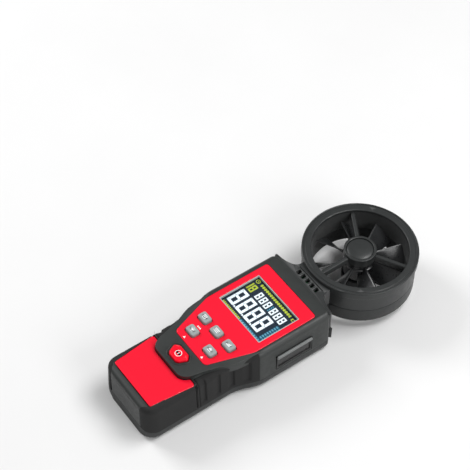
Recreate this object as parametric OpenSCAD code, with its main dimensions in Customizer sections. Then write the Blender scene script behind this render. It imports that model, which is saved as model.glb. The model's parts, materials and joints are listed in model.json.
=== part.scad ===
// Handheld vane anemometer: a two-shell body with a display, keys and a battery bay,
// and a round vane head fixed to its top end. All sizes are in millimetres.
// It lies on its back: +X to its right, +Y towards the vane, +Z out of its face.

/* [Body] */
// Length of the narrow handle, from the bottom end to the wide case
handle_l = 76; // [72:1:110]
// Length of the wide display case, up to the neck
case_l = 51.3; // [48:0.1:80]
// Width of the handle
handle_w = 48.5; // [46:0.5:56]
// Width of the display case
case_w = 59; // [57:0.5:76]
// Height of the display face above the back
face_h = 32; // [30:0.5:44]
// Depth of the lower face below the display face
face_step = 3; // [2:0.1:4]
// Height of the line where the two shells meet
part_h = 8; // [6:0.1:9]
// Wall thickness of the shells
wall_t = 2.2; // [1.8:0.1:2.8]
// Thickness of the shell behind the red panels
front_t = 1.8; // [1.4:0.1:2.4]
// Radius of the long front edges
edge_r = 3.5; // [2:0.1:5]
// Radius of the long back edges
back_r = 4.5; // [3:0.1:5]
// Plan radius of the bottom corners
end_r = 8; // [5:0.5:12]
// Plan radius of the top corners
shoulder_r = 2.5; // [1.5:0.5:6]
// How much the sides lean in from the meeting line to the face
side_lean = 1; // [0.4:0.1:1.6]
// Thickness of the rubber grips
grip_t = 1.8; // [1.2:0.1:2.4]
// Width of the recesses between the grip ribs
rib_gap = 4.6; // [3:0.1:6]
// Distance from one grip rib to the next
rib_pitch = 9.8; // [8:0.1:12]
// Depth of the recesses between the grip ribs
rib_depth = 0.7; // [0.3:0.1:1]

/* [Panels and display] */
// Thickness of the two red panels
panel_t = 1.6; // [1.2:0.1:2.2]
// Gap round a panel in its recess
panel_gap = 0.2; // [0.1:0.05:0.4]
// Width of the upper panel at the display
panel_w = 48.4; // [46:0.2:52]
// Width of the upper panel at its foot
panel_foot_w = 31.6; // [28:0.2:36]
// Width of the lower panel at the bottom end
low_panel_w = 37.6; // [34:0.2:40]
// Width of the lower panel at its top tips
low_panel_top_w = 42.6; // [40:0.2:44]
// Width of the visible display
display_w = 40; // [34:0.5:42]
// Length of the visible display
display_l = 29.6; // [24:0.2:32]
// Thickness of the clear window's flange
window_t = 0.8; // [0.6:0.1:1.2]
// Depth of the window's face below the panel's face
window_low = 0.3; // [0.1:0.05:0.6]
// Distance from the display's middle to the top end of the body
display_y = 32.3; // [30:0.1:36]

/* [Keys] */
// Length of a grey key across the body
key_w = 7.8; // [6:0.1:9]
// Width of a grey key along the body
key_l = 5.8; // [5:0.1:7]
// Corner radius of a grey key
key_r = 1.4; // [0.6:0.1:2]
// Height of the keys above the panel
key_proud = 2; // [1:0.1:3]
// How far a key moves when it is pressed
key_travel = 0.8; // [0.4:0.1:1]
// Gap round a key in its hole
key_gap = 0.3; // [0.15:0.05:0.4]
// Spacing of the three upper keys
key_pitch = 12.1; // [11:0.1:14]
// Spacing of the two lower keys
low_key_pitch = 17.6; // [14:0.1:20]
// Distance between the two rows of keys
key_row = 11.1; // [8:0.1:13]
// Width of the power key
power_w = 13.6; // [11:0.1:15]
// Length of the power key
power_l = 8.8; // [7:0.1:10]

/* [Vane head] */
// Outer diameter of the ring at its front lip
ring_d = 72; // [66:1:100]
// Diameter of the air passage
duct_d = 60; // [56:1:64]
// Height of the ring
ring_h = 28.6; // [26:0.1:36]
// Height of the front lip above the display face
ring_proud = 2; // [0:0.1:4]
// Depth of the seam between the ring's halves below its front
ring_seam = 17; // [14:0.1:19]
// Height of the front lip band
lip_h = 5; // [3:0.1:6]
// Depth of the groove round the ring's front face
rim_groove = 0.5; // [0.2:0.1:1]
// Width of the groove round the ring's front face
rim_groove_w = 1.4; // [0.8:0.1:1.6]
// How far the lip band stands out from the ring's wall
lip_out = 0.8; // [0.4:0.1:1.5]
// Thickness of the ring's inner and outer walls
ring_wall = 1.6; // [1.2:0.1:1.9]
// Diameter of the fixed hubs
hub_d = 20.2; // [18:0.2:24]
// Width of a spoke
spoke_w = 2.7; // [2:0.1:4]
// Height of a front spoke
spoke_h = 4.4; // [3:0.1:4.4]
// Length of the neck between the body and the ring
neck_l = 8.3; // [7:0.1:14]
// Width of the neck where it meets the ring
neck_w = 26; // [24:0.5:32]
// Length of the neck's straight foot against the body
neck_foot = 1.6; // [0.8:0.1:3]
// Number of vent slots in the neck
slots = 5; // [3:2:5]
// Width of a vent slot
slot_w = 2.5; // [1.5:0.1:3]
// Length of a vent slot along the neck
slot_l = 3.1; // [2:0.1:4]
// Distance from one vent slot to the next
slot_pitch = 4.2; // [3.6:0.1:4.6]

/* [Impeller] */
// Number of blades
blades = 8; // [5:1:10]
// Gap between the blade tips and the air passage
tip_gap = 1.4; // [0.8:0.1:4]
// Diameter of the turning hub
rotor_hub_d = 18.4; // [16:0.2:19]
// Thickness of a blade
blade_t = 1.1; // [0.8:0.1:1.6]
// Height of a blade along the shaft
blade_h = 9.6; // [7:0.1:11]
// Angle that a blade turns through over its height
blade_sweep = 25; // [10:1:35]
// Diameter of the shaft
shaft_d = 2; // [1.5:0.1:3]
// Radial clearance of the shaft in its bearings
shaft_gap = 0.05; // [0.02:0.01:0.09]

/* [Battery bay and port] */
// Diameter of one cell
cell_d = 10.5; // [9.8:0.1:10.8]
// Length of one cell
cell_l = 44.5; // [42:0.5:46]
// Gap round the cells
cell_gap = 0.25; // [0.1:0.05:0.4]
// Thickness of the battery cover
cover_t = 1.6; // [1.2:0.1:2]
// Gap round the battery cover
cover_gap = 0.15; // [0.1:0.05:0.3]
// Length of the port cover
port_l = 26; // [20:0.5:30]
// Height of the port cover
port_h = 12; // [10:0.2:13]
// Thickness of the port cover
port_t = 1.2; // [1:0.1:1.6]
// Gap round the port cover
port_gap = 0.25; // [0.15:0.05:0.4]
// Radius of the tripod thread at its crests
tripod_r = 2.55; // [2:0.05:3.2]
// Depth of the tripod thread
tripod_l = 7; // [5:0.1:9]

/* [Hidden] */
$fn = 48;
over = 1;                                   // how far a cut runs past a face
body_l = handle_l + case_l;
total_l = body_l + neck_l + ring_d;
y0 = -total_l / 2;                          // the bottom end
y_top = y0 + body_l;                        // the body's top end
ring_y = total_l / 2 - ring_d / 2;
ring_top = face_h + ring_proud;
ring_low = ring_top - ring_h;
seam_z = ring_top - ring_seam;
low_face = face_h - face_step;

// The case widens between these two lines
flare_from = handle_l - 18;
flare_to = handle_l + 3;
// The low face of the handle climbs to the display face between these lines
rise_from = handle_l - 40;
rise_to = handle_l + 2;

// Plan positions, measured from the bottom end
collar_y = handle_l - 47;                   // bottom of the raised collar
panel_foot_y = handle_l - 30.7;             // foot of the upper panel
panel_bend_y = handle_l - 0.8;              // where the upper panel narrows
panel_top_y = body_l - 8.2;
low_panel_y = 5;                            // foot of the lower panel
low_tip_y = handle_l - 41.8;                // top tips of the lower panel
lcd_y = y0 + body_l - display_y;
key_y = y0 + handle_l - 11.6;
power_y = y0 + handle_l - 38.7;
collar_w = 27;                              // width of the collar's foot
power_low = 0.7;                            // the power key stands this much lower than the others

// Heights of the inner layers
panel_z = face_h - panel_t;
ceiling_z = panel_z - window_t - 1;             // underside of the shell behind the upper panel
low_ceiling_z = low_face - panel_t - front_t;
collar_z = low_ceiling_z - 0.5;             // underside of the collar, over the rubber at the waist
board_t = 1.6;
light_t = 2.2;
glass_t = 2.4;
layer_gap = 0.15;
window_rim = 4;                             // how much larger the window's flange is than the display
glass_rim = 1.4;                            // how much larger the display glass is
strip_w = 1.6;                              // width of a contact strip
glass_z = panel_z - window_t - layer_gap - glass_t;
light_z = glass_z - light_t - layer_gap;
board_z = light_z - board_t - layer_gap;
mat_z = board_z + board_t;
mat_t = 0.8;
flange_z = mat_z + mat_t + key_travel + 0.4;
flange_t = ceiling_z - 0.2 - flange_z;

// Battery bay
bay_w = 3 * cell_d + 4 * cell_gap;
bay_y = 12;
bay_l = cell_l + 6;
bay_wall = 1.4;
cover_z = 0.3;                              // the cover lies this far above the resting plane
bay_z = cover_z + cover_t + 0.4;
bay_top = bay_z + cell_d + 2 * cell_gap;
cover_w = bay_w + 3;
cover_l = bay_y + bay_l + 1.5;
tongue = 1.2;
tongue_t = 0.7;

// Fasteners
screw_r = 1.2;
screw_l = 14;
screw_head_r = 2.4;
screw_head_h = 1.8;
screw_gap = 0.2;
post_r = 2.8;
post_lap = 0.3;                             // how far a screw post runs into the wall
case_screw_x = case_w / 2 - side_lean - wall_t - post_r + post_lap;
handle_screw_x = 12;
handle_screw_y = 7;
waist_screw_y = handle_l - 3;
tube_r = post_r + 0.8;
// Each screw's place and the height of the underside of its head's seat
case_screw_at = [
    [case_screw_x, body_l - wall_t - post_r - 1, 1.6],
    [inner_w(waist_screw_y) - post_r + post_lap, waist_screw_y, 1.6],
    [handle_screw_x, handle_screw_y, cover_z + cover_t + cover_gap + screw_head_h + 0.1],
];
ring_screw_r = 0.9;
boss_gap = 0.3;                             // the ring's bosses stop this short of its seam
ring_screw_head_r = 1.6;
ring_mid = (duct_d / 2 + ring_d / 2 - lip_out) / 2;

tripod_outer_r = tripod_r + 1.8;

// Port on the right side
port_y = lcd_y + 5;
port_z = face_h - 16;
port_x = case_w / 2 - 0.2;
port_depth = 1.6;
lip_t = 2;                                  // thickness of the port cover's finger lip

// Vane head
ring_r = ring_d / 2;
duct_r = duct_d / 2;
ring_side_r = ring_r - lip_out;
hub_r = hub_d / 2;
hub_z = ring_top - 6.4;
rim_edge = 0.9;                             // width of the edge outside the front face's groove
spoke_top = ring_top - 2.1;
cap_r = 8.3;
cap_gap = 0.1;
magnet_r = 1.5;
magnet_l = 2;
magnet_at = 6.2;                            // distance of a magnet from the shaft
bearing_r = 3;
bearing_l = 3;
rotor_top = hub_z - 0.8;
rear_hub_h = 5.5;
rear_hub_top = ring_low + 0.4 + rear_hub_h;
rotor_low = rear_hub_top + 1.2;
blade_z = rotor_top - 0.8 - blade_h;
blade_phase = 30 - blade_sweep;             // turn of the first blade's lower edge
tip_r = duct_r - tip_gap;
rotor_hub_r = rotor_hub_d / 2;
spoke_angles = [30, 150, 270];
cap_z = ring_top - 2.8;
neck_low = min(ring_low + 2, part_h - 0.6); // the neck always laps the rear shell
neck_top = ring_top - 2.6;
neck_curve = 7;                             // length of the neck's hollow curve
slot_y = y_top + 2.4;                       // near end of the vent slots
tongue_w = 22;
tongue_h = 12;
tongue_l = 6;
passage_w = 19;

function smooth(t) = let (u = min(1, max(0, t))) u * u * (3 - 2 * u);
function ramp(y, a, b) = smooth((y - a) / (b - a));
// How far a corner of radius r draws in at a distance d from the end
function draw_in(d, r) = d >= r ? 0 : r - sqrt(max(0, r * r - (r - d) * (r - d)));
function half_w(y) = handle_w / 2 + (case_w - handle_w) / 2 * ramp(y, flare_from, flare_to)
    - draw_in(y, end_r) - draw_in(body_l - y, shoulder_r);
function top_z(y) = low_face + face_step * ramp(y, rise_from, rise_to)
    - draw_in(y, edge_r) * 0.8;

// Cross-section of the body at y, drawn in by t on every side
function section(y, t) = let (
        w = half_w(y) - t,
        wt = w - side_lean,
        zt = top_z(y) - t,
        r = edge_r,
        rb = back_r)
    concat(
        [[w, part_h]],
        [for (a = [0 : 30 : 90]) [wt - r + r * cos(a), zt - r + r * sin(a)]],
        [for (a = [90 : 30 : 180]) [-wt + r + r * cos(a), zt - r + r * sin(a)]],
        [[-w, part_h]],
        [for (a = [180 : 30 : 270]) [-w + rb + rb * cos(a), t + rb + rb * sin(a)]],
        [for (a = [270 : 30 : 360]) [w - rb + rb * cos(a), t + rb + rb * sin(a)]]);

// Places of the cross-sections along the body
function stations() = concat(
    [for (a = [0 : 22.5 : 90]) end_r * (1 - cos(a))],
    [for (k = [0 : 7]) flare_from + (flare_to - flare_from) * k / 7],
    [for (a = [90 : -30 : 0]) body_l - shoulder_r * (1 - cos(a))]);

// The outer form of the body, drawn in by t
module body_form(t = 0) {
    at = stations();
    rings = [for (y = at) section(y, t)];
    n = len(rings[0]);
    count = len(at);
    stretch = (body_l - 2 * t) / body_l;
    points = [for (i = [0 : count - 1]) for (p = rings[i]) [p[0], y0 + t + at[i] * stretch, p[1]]];
    sides = [for (i = [0 : count - 2]) for (j = [0 : n - 1]) for (half = [0, 1])
        let (a = i * n + j, b = i * n + (j + 1) % n, c = b + n, d = a + n)
        half == 0 ? [a, b, c] : [a, c, d]];
    foot = [for (j = [n - 1 : -1 : 0]) j];
    crown = [for (j = [0 : n - 1]) (count - 1) * n + j];
    polyhedron(points, concat([foot], sides, [crown]));
}

// A block across the whole body between two heights
module slab(low, high) {
    translate([-case_w, y0 - over, low]) cube([2 * case_w, body_l + 2 * over, high - low]);
}

// A plan outline given by its right half, from bottom to top, made whole by its mirror image
module plan(half, low, high) {
    left = [for (i = [len(half) - 1 : -1 : 0]) [-half[i][0], half[i][1]]];
    translate([0, y0, low]) linear_extrude(high - low) polygon(concat(half, left));
}

module rounded_plate(size, r, low, high) {
    w = size[0] / 2 - r;
    l = size[1] / 2 - r;
    translate([0, 0, low]) linear_extrude(high - low) polygon([
        for (c = [[w, l, 0], [-w, l, 90], [-w, -l, 180], [w, -l, 270]])
            for (a = [0 : 22.5 : 90])
                [c[0] + r * cos(c[2] + a), c[1] + r * sin(c[2] + a)]]);
}

// A smooth curve through the points p, with n steps between each two
function curve(p, n) = concat([for (i = [0 : len(p) - 2]) for (k = [0 : n - 1])
    let (a = p[max(i - 1, 0)], b = p[i], c = p[i + 1], d = p[min(i + 2, len(p) - 1)], t = k / n)
    (2 * b + (c - a) * t + (2 * a - 5 * b + 4 * c - d) * t * t + (3 * b - a - 3 * c + d) * t * t * t) / 2],
    [p[len(p) - 1]]);

// Right half of the collar's edge, from its foot up to the case, moved out by g
function collar_edge(g = 0) = let (x = collar_w / 2 + g, y = collar_y) curve([
    [x - 5, y - g],
    [x - 1.6, y + 0.4 - g],
    [x + 1.4, y + 2.8 - g / 2],
    [x + 3.2, y + 7],
    [x + 4.6, y + 13.5],
    [x + 7.4, y + 23],
    [x + 10.8, y + 32],
    [case_w / 2 - edge_r + g, handle_l + 1]], 4);

// Right half of the upper panel, made bigger by g on every side
function upper_half(g = 0) = concat(
    [[panel_foot_w / 2 - 4, panel_foot_y - g]],
    [for (a = [-75 : 25 : 0]) [panel_foot_w / 2 - 3 + (3 + g) * cos(a), panel_foot_y + 3 + (3 + g) * sin(a)]],
    [[panel_w / 2 + g, panel_bend_y]],
    [for (a = [0 : 30 : 90]) [panel_w / 2 - 2 + (2 + g) * cos(a), panel_top_y - 2 + (2 + g) * sin(a)]]);

// Right half of the lower panel before the collar is cut from it, made bigger by g
function lower_half(g = 0) = [
    [low_panel_w / 2 - 1 + g, low_panel_y - g],
    [low_panel_w / 2 + g, low_panel_y + 1 - g],
    [low_panel_top_w / 2 + g, low_tip_y - 1.2 + g],
    [low_panel_top_w / 2 - 1.2 + g, low_tip_y + g]];

// The lower panel's plate, made bigger by g; its top follows the collar
module lower_plate(g, low, high) {
    difference() {
        plan(lower_half(g), low, high);
        plan(collar_edge(panel_gap - g), low - over, high + over);
    }
}

// Where the rubber covers the right side of the handle, drawn in by g at the lower panel
function grip_half(g = 0) = [
    [case_w, -over],
    [low_panel_w / 2 - 4, -over],
    [low_panel_w / 2 - 4, 0],
    [low_panel_w / 2 + panel_gap + g, low_panel_y],
    [low_panel_top_w / 2 + panel_gap + g, low_tip_y + 0.6],
    [collar_w / 2 + 4 + g, low_tip_y + 1],
    [collar_w / 2 + 4.8 + g, collar_y + 13.5],
    [collar_w / 2 + 7.6 + g, collar_y + 23],
    [handle_w / 2 - side_lean - 1.5 + g, flare_from],
    [case_w / 2 - edge_r - 1.5, handle_l - 1],
    [case_w, handle_l + 1]];

module grip_zone() {
    translate([0, y0, part_h]) linear_extrude(face_h) polygon(grip_half());
}

// Half-width of the space inside the shells
function inner_w(y) = half_w(y) - side_lean - wall_t
    - grip_t * (1 - ramp(y, handle_l - 4, handle_l + 2));

module inner_space(low) {
    inner = [for (y = [wall_t + grip_t + end_r, flare_from, (flare_from + flare_to) / 2, flare_to])
        [inner_w(y), y]];
    foot_x = inner_w(end_r) - end_r / 2;
    head = body_l - wall_t;
    outline = concat([[foot_x, wall_t + grip_t]], inner,
        [[inner_w(flare_to), head - shoulder_r], [inner_w(flare_to) - shoulder_r / 2, head]]);
    plan(outline, low, low_ceiling_z);
    above = [for (p = outline) if (p[1] > collar_y + 14) p];
    plan(concat([[min(above[0][0], collar_w / 2 + 2), collar_y + 4]], above), low, ceiling_z);
}

module case_screw_places() {
    for (s = case_screw_at)
        for (side = [-1, 1])
            translate([side * s[0], y0 + s[1], s[2]]) children();
}

// ---- body ----

module front_shell() color([0.25, 0.27, 0.27]) {
    difference() {
        union() {
            difference() {
                body_form();
                slab(-over, part_h);
                difference() {
                    union() {
                        grip_zone();
                        mirror([1, 0, 0]) grip_zone();
                    }
                    body_form(grip_t);
                }
            }
            plan(collar_edge(), collar_z, face_h);
        }
        difference() {
            inner_space(part_h - over);
            for (s = case_screw_at)
                for (side = [-1, 1])
                    translate([side * s[0], y0 + s[1], part_h])
                        cylinder(r = post_r, h = face_h);
            // stand-offs that hold the board
            for (side = [-1, 1]) for (y = [handle_l + 14, body_l - 16])
                translate([side * (inner_w(flare_to) - 1.8), y0 + y, board_z + board_t])
                    cylinder(r = 1.5, h = face_h);
            // inner pad behind the port recess
            translate([case_w / 2 - side_lean - wall_t - 1.6, port_y - port_l / 2 - 1.5, part_h])
                cube([6, port_l + 3, board_z - 0.2 - part_h]);
        }
        case_screw_places() cylinder(r = screw_r, h = screw_l + 2);
        // recesses of the red panels
        plan(upper_half(panel_gap), panel_z, face_h + over);
        lower_plate(panel_gap, low_face - panel_t, face_h + over);
        // seat and opening of the display window
        display_plate(window_rim + 2 * panel_gap, 1.2, panel_z - window_t, face_h);
        display_plate(glass_rim + 2 * panel_gap, 0.6, part_h, face_h);
        key_places() key_hole();
        translate([0, power_y, 0]) power_plan(key_gap, part_h, face_h + over);
        translate([0, power_y, 0]) power_plan(key_gap + 1, low_ceiling_z, flange_z + flange_t + 0.25);
        // recess and slot of the data port
        translate([port_x - port_depth, port_y - port_l / 2 - port_gap, port_z - port_h / 2 - port_gap])
            cube([port_depth + 6, port_l + 2 * port_gap, port_h + 2 * port_gap]);
        translate([port_x - 12, port_y - 5, port_z - 2.2]) cube([12 + over, 10, 4.4]);
        neck_tongue(0.1);
    }
}

module rear_shell() color([0.2, 0.22, 0.22]) {
    difference() {
        union() {
            difference() {
                body_form();
                slab(part_h, 2 * face_h);
                inner_space(wall_t);
            }
            // battery bay
            translate([-bay_w / 2 - bay_wall, y0 + wall_t + grip_t, wall_t])
                cube([bay_w + 2 * bay_wall, bay_y + bay_l + bay_wall - wall_t - grip_t, 1.8]);
            translate([-bay_w / 2 - bay_wall, y0 + bay_y - bay_wall, wall_t])
                cube([bay_w + 2 * bay_wall, bay_l + 2 * bay_wall, bay_top + bay_wall - wall_t]);
            for (s = case_screw_at)
                for (side = [-1, 1])
                    translate([side * s[0], y0 + s[1], wall_t - 0.2])
                        cylinder(r = tube_r, h = part_h - wall_t + 0.2);
            translate([0, lcd_y, wall_t]) cylinder(r = 6.2, h = tripod_l + 1 - wall_t);
        }
        translate([-bay_w / 2, y0 + bay_y, -over]) cube([bay_w, bay_l, bay_top + over]);
        // pocket and grooves of the battery cover
        translate([-cover_w / 2 - cover_gap, y0 - over, -over])
            cube([cover_w + 2 * cover_gap, cover_l + cover_gap + over, cover_z + cover_t + cover_gap + over]);
        translate([-cover_w / 2 - tongue - cover_gap, y0 - over, cover_z + cover_t - tongue_t - cover_gap])
            cube([cover_w + 2 * (tongue + cover_gap), cover_l + cover_gap + over, tongue_t + 2 * cover_gap]);
        case_screw_places() {
            cylinder(r = screw_r + screw_gap, h = face_h);
            translate([0, 0, -screw_head_h - 2 * over]) cylinder(r = screw_head_r + screw_gap, h = screw_head_h + 2 * over);
        }
        translate([0, lcd_y, -over]) cylinder(r = tripod_outer_r, h = tripod_l + over);
    }
}

module grip() color([0.09, 0.09, 0.1]) {
    difference() {
        intersection() {
            body_form();
            grip_zone();
        }
        body_form(grip_t);
        plan(collar_edge(), collar_z, face_h + over);
        lower_plate(panel_gap, low_face - panel_t, face_h + over);
        // recesses between the ribs, of one depth all along the surface
        difference() {
            for (i = [0 : 3])
                translate([0, y0 + low_tip_y + 2.5 + i * rib_pitch, part_h + 1])
                    cube([case_w, rib_gap, low_face - part_h - 5]);
            body_form(rib_depth);
        }
    }
}

module grip_right() {
    grip();
}

module grip_left() {
    mirror([1, 0, 0]) grip();
}

module upper_panel() color([0.93, 0, 0.16]) {
    difference() {
        plan(upper_half(), panel_z, face_h);
        display_plate(0, 0.5, 0, face_h + over);
        key_places() rounded_plate([key_w + 2 * key_gap, key_l + 2 * key_gap], key_r, 0, face_h + over);
    }
}

module lower_panel() color([0.93, 0, 0.16]) {
    lower_plate(0, low_face - panel_t, low_face);
}

// ---- display and electronics ----

// A plate over the display, its edges moved out by half of rim
module display_plate(rim, r, low, high) {
    translate([0, lcd_y, 0]) rounded_plate([display_w + rim, display_l + rim], r, low, high);
}

module display_window() color([0.75, 0.8, 0.85, 0.4]) {
    display_plate(window_rim, 1, panel_z - window_t, panel_z);
    display_plate(-2 * panel_gap, 0.5, panel_z - window_t, face_h - window_low);
}

module lcd_panel() color([0.06, 0.08, 0.12]) {
    display_plate(glass_rim, 0.4, glass_z, glass_z + glass_t);
}

module backlight() color([0.85, 0.88, 0.9]) {
    translate([0, lcd_y, 0])
        rounded_plate([display_w, display_l - 2 * strip_w], 0.5, light_z, light_z + light_t);
}

module contact_strips() color([0.8, 0.5, 0.6]) {
    for (side = [-1, 1])
        translate([-display_w / 2, lcd_y + side * (display_l + glass_rim / 2 - strip_w) / 2 - strip_w / 2, mat_z])
            cube([display_w, strip_w, glass_z - mat_z]);
}

module main_board() color([0.1, 0.4, 0.2]) {
    board_w = 2 * (inner_w(flare_to) - 0.4);
    low_w = panel_foot_w + 4;
    difference() {
        plan([[low_w / 2, collar_y + 2], [low_w / 2, handle_l - 14],
            [inner_w(waist_screw_y) - 1.5, waist_screw_y], [board_w / 2, flare_to + 1],
            [board_w / 2, body_l - wall_t - tongue_l - 4]], board_z, board_z + board_t);
        for (s = case_screw_at)
            for (side = [-1, 1])
                translate([side * s[0], y0 + s[1], 0]) cylinder(r = post_r + 0.3, h = face_h);
    }
}

module keypad_mat() color([0.35, 0.36, 0.38]) {
    translate([0, key_y - key_row / 2, 0])
        rounded_plate([2 * key_pitch + key_w + 4, key_row + key_l + 4], 1, mat_z, mat_z + mat_t);
    translate([0, power_y, 0]) rounded_plate([power_w + 3, power_l + 3], 1, mat_z, mat_z + mat_t);
}

module buzzer() color([0.08, 0.08, 0.08]) {
    buzzer_h = 3.2;
    translate([-14, lcd_y + 4, board_z - buzzer_h]) cylinder(r = 6, h = buzzer_h);
}

module data_port() color([0.75, 0.75, 0.78]) {
    w = 8.8;
    h = 3.2;
    wall = 0.5;
    back = port_x - port_depth - 6.5;
    difference() {
        translate([back, port_y - w / 2, port_z - h / 2]) cube([5.2, w, h]);
        translate([back + 0.7, port_y - w / 2 + wall, port_z - h / 2 + wall])
            cube([6, w - 2 * wall, h - 2 * wall]);
    }
    // foot that joins it to the board
    foot_z = port_z + h / 2 - 0.4;
    translate([back, port_y - 3.5, foot_z]) cube([3, 7, board_z - foot_z]);
}

module port_cover() color([0.05, 0.05, 0.06]) {
    translate([port_x - port_t, port_y - port_l / 2, port_z - port_h / 2])
        cube([port_t, port_l, port_h]);
    // finger lip along its upper edge
    translate([port_x - port_t, port_y - port_l / 2, port_z + port_h / 2 - lip_t])
        cube([port_t + 1.1, port_l, lip_t]);
}

module climate_sensor() color([0.1, 0.35, 0.2]) {
    translate([-passage_w / 2, y_top + 1.6, face_h - 6.4]) cube([passage_w, 4.6, 1]);
    translate([-2, y_top + 2.4, face_h - 5.4]) cube([4, 3, 1.4]);
}

// ---- keys ----

module key_places() {
    for (i = [-1 : 1]) translate([i * key_pitch, key_y, 0]) children();
    for (i = [-1, 1]) translate([i * low_key_pitch / 2, key_y - key_row, 0]) children();
}

module key_hole() {
    rounded_plate([key_w + 2 * key_gap, key_l + 2 * key_gap], key_r, part_h, face_h + over);
}

module key(x, row) color([0.6, 0.64, 0.63]) {
    translate([x, key_y - row * key_row, 0]) {
        rounded_plate([key_w, key_l], key_r, flange_z + flange_t, face_h + key_proud);
        rounded_plate([key_w + 1.4, key_l + 1.4], key_r, flange_z, flange_z + flange_t);
    }
}

module key_left() { key(-key_pitch, 0); }
module key_middle() { key(0, 0); }
module key_right() { key(key_pitch, 0); }
module key_low_left() { key(-low_key_pitch / 2, 1); }
module key_low_right() { key(low_key_pitch / 2, 1); }

// A plate with the power key's six-sided outline, made bigger by g
module power_plan(g, low, high) {
    w = power_w / 2 + g;
    l = power_l / 2 + g;
    c = 2.6;                                // cut of the upper corners
    translate([0, 0, low]) linear_extrude(high - low) polygon([
        [-w * 0.62 + 1, -l], [w * 0.62 - 1, -l], [w * 0.62 + 0.6, -l + 1.2],
        [w, l - c - 0.6], [w - 0.3, l - c + 0.6], [w - c, l],
        [-w + c, l], [-w + 0.3, l - c + 0.6], [-w, l - c - 0.6], [-w * 0.62 - 0.6, -l + 1.2]]);
}

module power_key() color([0.93, 0, 0.16]) {
    translate([0, power_y, 0]) {
        power_plan(0, flange_z + flange_t, face_h + key_proud - power_low);
        power_plan(0.7, flange_z, flange_z + flange_t);
    }
}

// ---- vane head ----

// Right half of the neck's outline: a straight foot on the body, then a hollow curve to the ring
function neck_half() = let (w = case_w / 2 - 0.8) concat(
    [[case_w / 2 - shoulder_r, body_l]],
    [for (a = [90 : -15 : 0])
        [w - (w - neck_w / 2) * cos(a), body_l + neck_foot + neck_curve * (1 - sin(a))]],
    [[neck_w / 2, body_l + neck_l + 3]]);

// The tongue that holds the head in the body, made bigger by g
module neck_tongue(g = 0) {
    translate([-tongue_w / 2 - g, y_top - tongue_l - 2, seam_z - tongue_h / 2 - g])
        cube([tongue_w + 2 * g, tongue_l + 2 + over, tongue_h + 2 * g]);
}

// The passage that the lead runs through, from the neck into the body
module neck_passage() {
    translate([-passage_w / 2, y_top + 1.2, ring_low + 2.2])
        cube([passage_w, neck_l - 1, face_h - 2.4 - ring_low - 2.2]);
    translate([-4, y_top - tongue_l - 2 - over, seam_z - 3]) cube([8, tongue_l + 6, 6]);
}

module spokes(low, h) {
    for (a = spoke_angles) rotate([0, 0, a])
        translate([hub_r - 1.2, -spoke_w / 2, low]) cube([duct_r + 2 - hub_r, spoke_w, h]);
}

module ring_bosses(low, h, r) {
    for (a = [90, 210, 330]) rotate([0, 0, a])
        translate([ring_mid, 0, low]) cylinder(r = r, h = h, $fn = 24);
}

module vane_front() color([0.24, 0.26, 0.26]) {
    difference() {
        union() {
            translate([0, ring_y, 0]) {
                // the ring's front half, hollow between two walls
                rotate_extrude($fn = 96) polygon([
                    [duct_r, seam_z], [duct_r + ring_wall, seam_z],
                    [duct_r + ring_wall, ring_top - 4], [ring_side_r - ring_wall, ring_top - 4],
                    [ring_side_r - ring_wall, seam_z], [ring_side_r, seam_z],
                    [ring_side_r, ring_top - lip_h], [ring_r, ring_top - lip_h],
                    [ring_r, ring_top - 0.4], [ring_r - 0.4, ring_top],
                    [ring_r - rim_edge, ring_top], [ring_r - rim_edge, ring_top - rim_groove],
                    [ring_r - rim_edge - rim_groove_w, ring_top - rim_groove],
                    [ring_r - rim_edge - rim_groove_w, ring_top],
                    [duct_r + 0.5, ring_top], [duct_r, ring_top - 0.8]]);
                difference() {
                    ring_bosses(seam_z + boss_gap, ring_top - 3.8 - seam_z - boss_gap, 2);
                    ring_bosses(seam_z - over, 9 + over, ring_screw_r);
                }
                spokes(spoke_top - spoke_h, spoke_h);
                translate([0, 0, hub_z]) cylinder(r = hub_r, h = ring_top - 0.6 - hub_z);
            }
            difference() {
                plan(neck_half(), seam_z, neck_top);
                translate([0, ring_y, 0]) cylinder(r = ring_side_r - 0.4, h = face_h);
            }
            difference() {
                neck_tongue();
                slab(-over, seam_z);
            }
        }
        neck_passage();
        for (i = [-(slots - 1) / 2 : (slots - 1) / 2])
            translate([i * slot_pitch - slot_w / 2, slot_y, face_h - 6]) cube([slot_w, slot_l, 8]);
        translate([0, ring_y, 0]) {
            translate([0, 0, cap_z]) cylinder(r = cap_r + cap_gap, h = 4);
            translate([0, 0, hub_z - over]) cylinder(r = bearing_r, h = 8);
        }
    }
}

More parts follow.
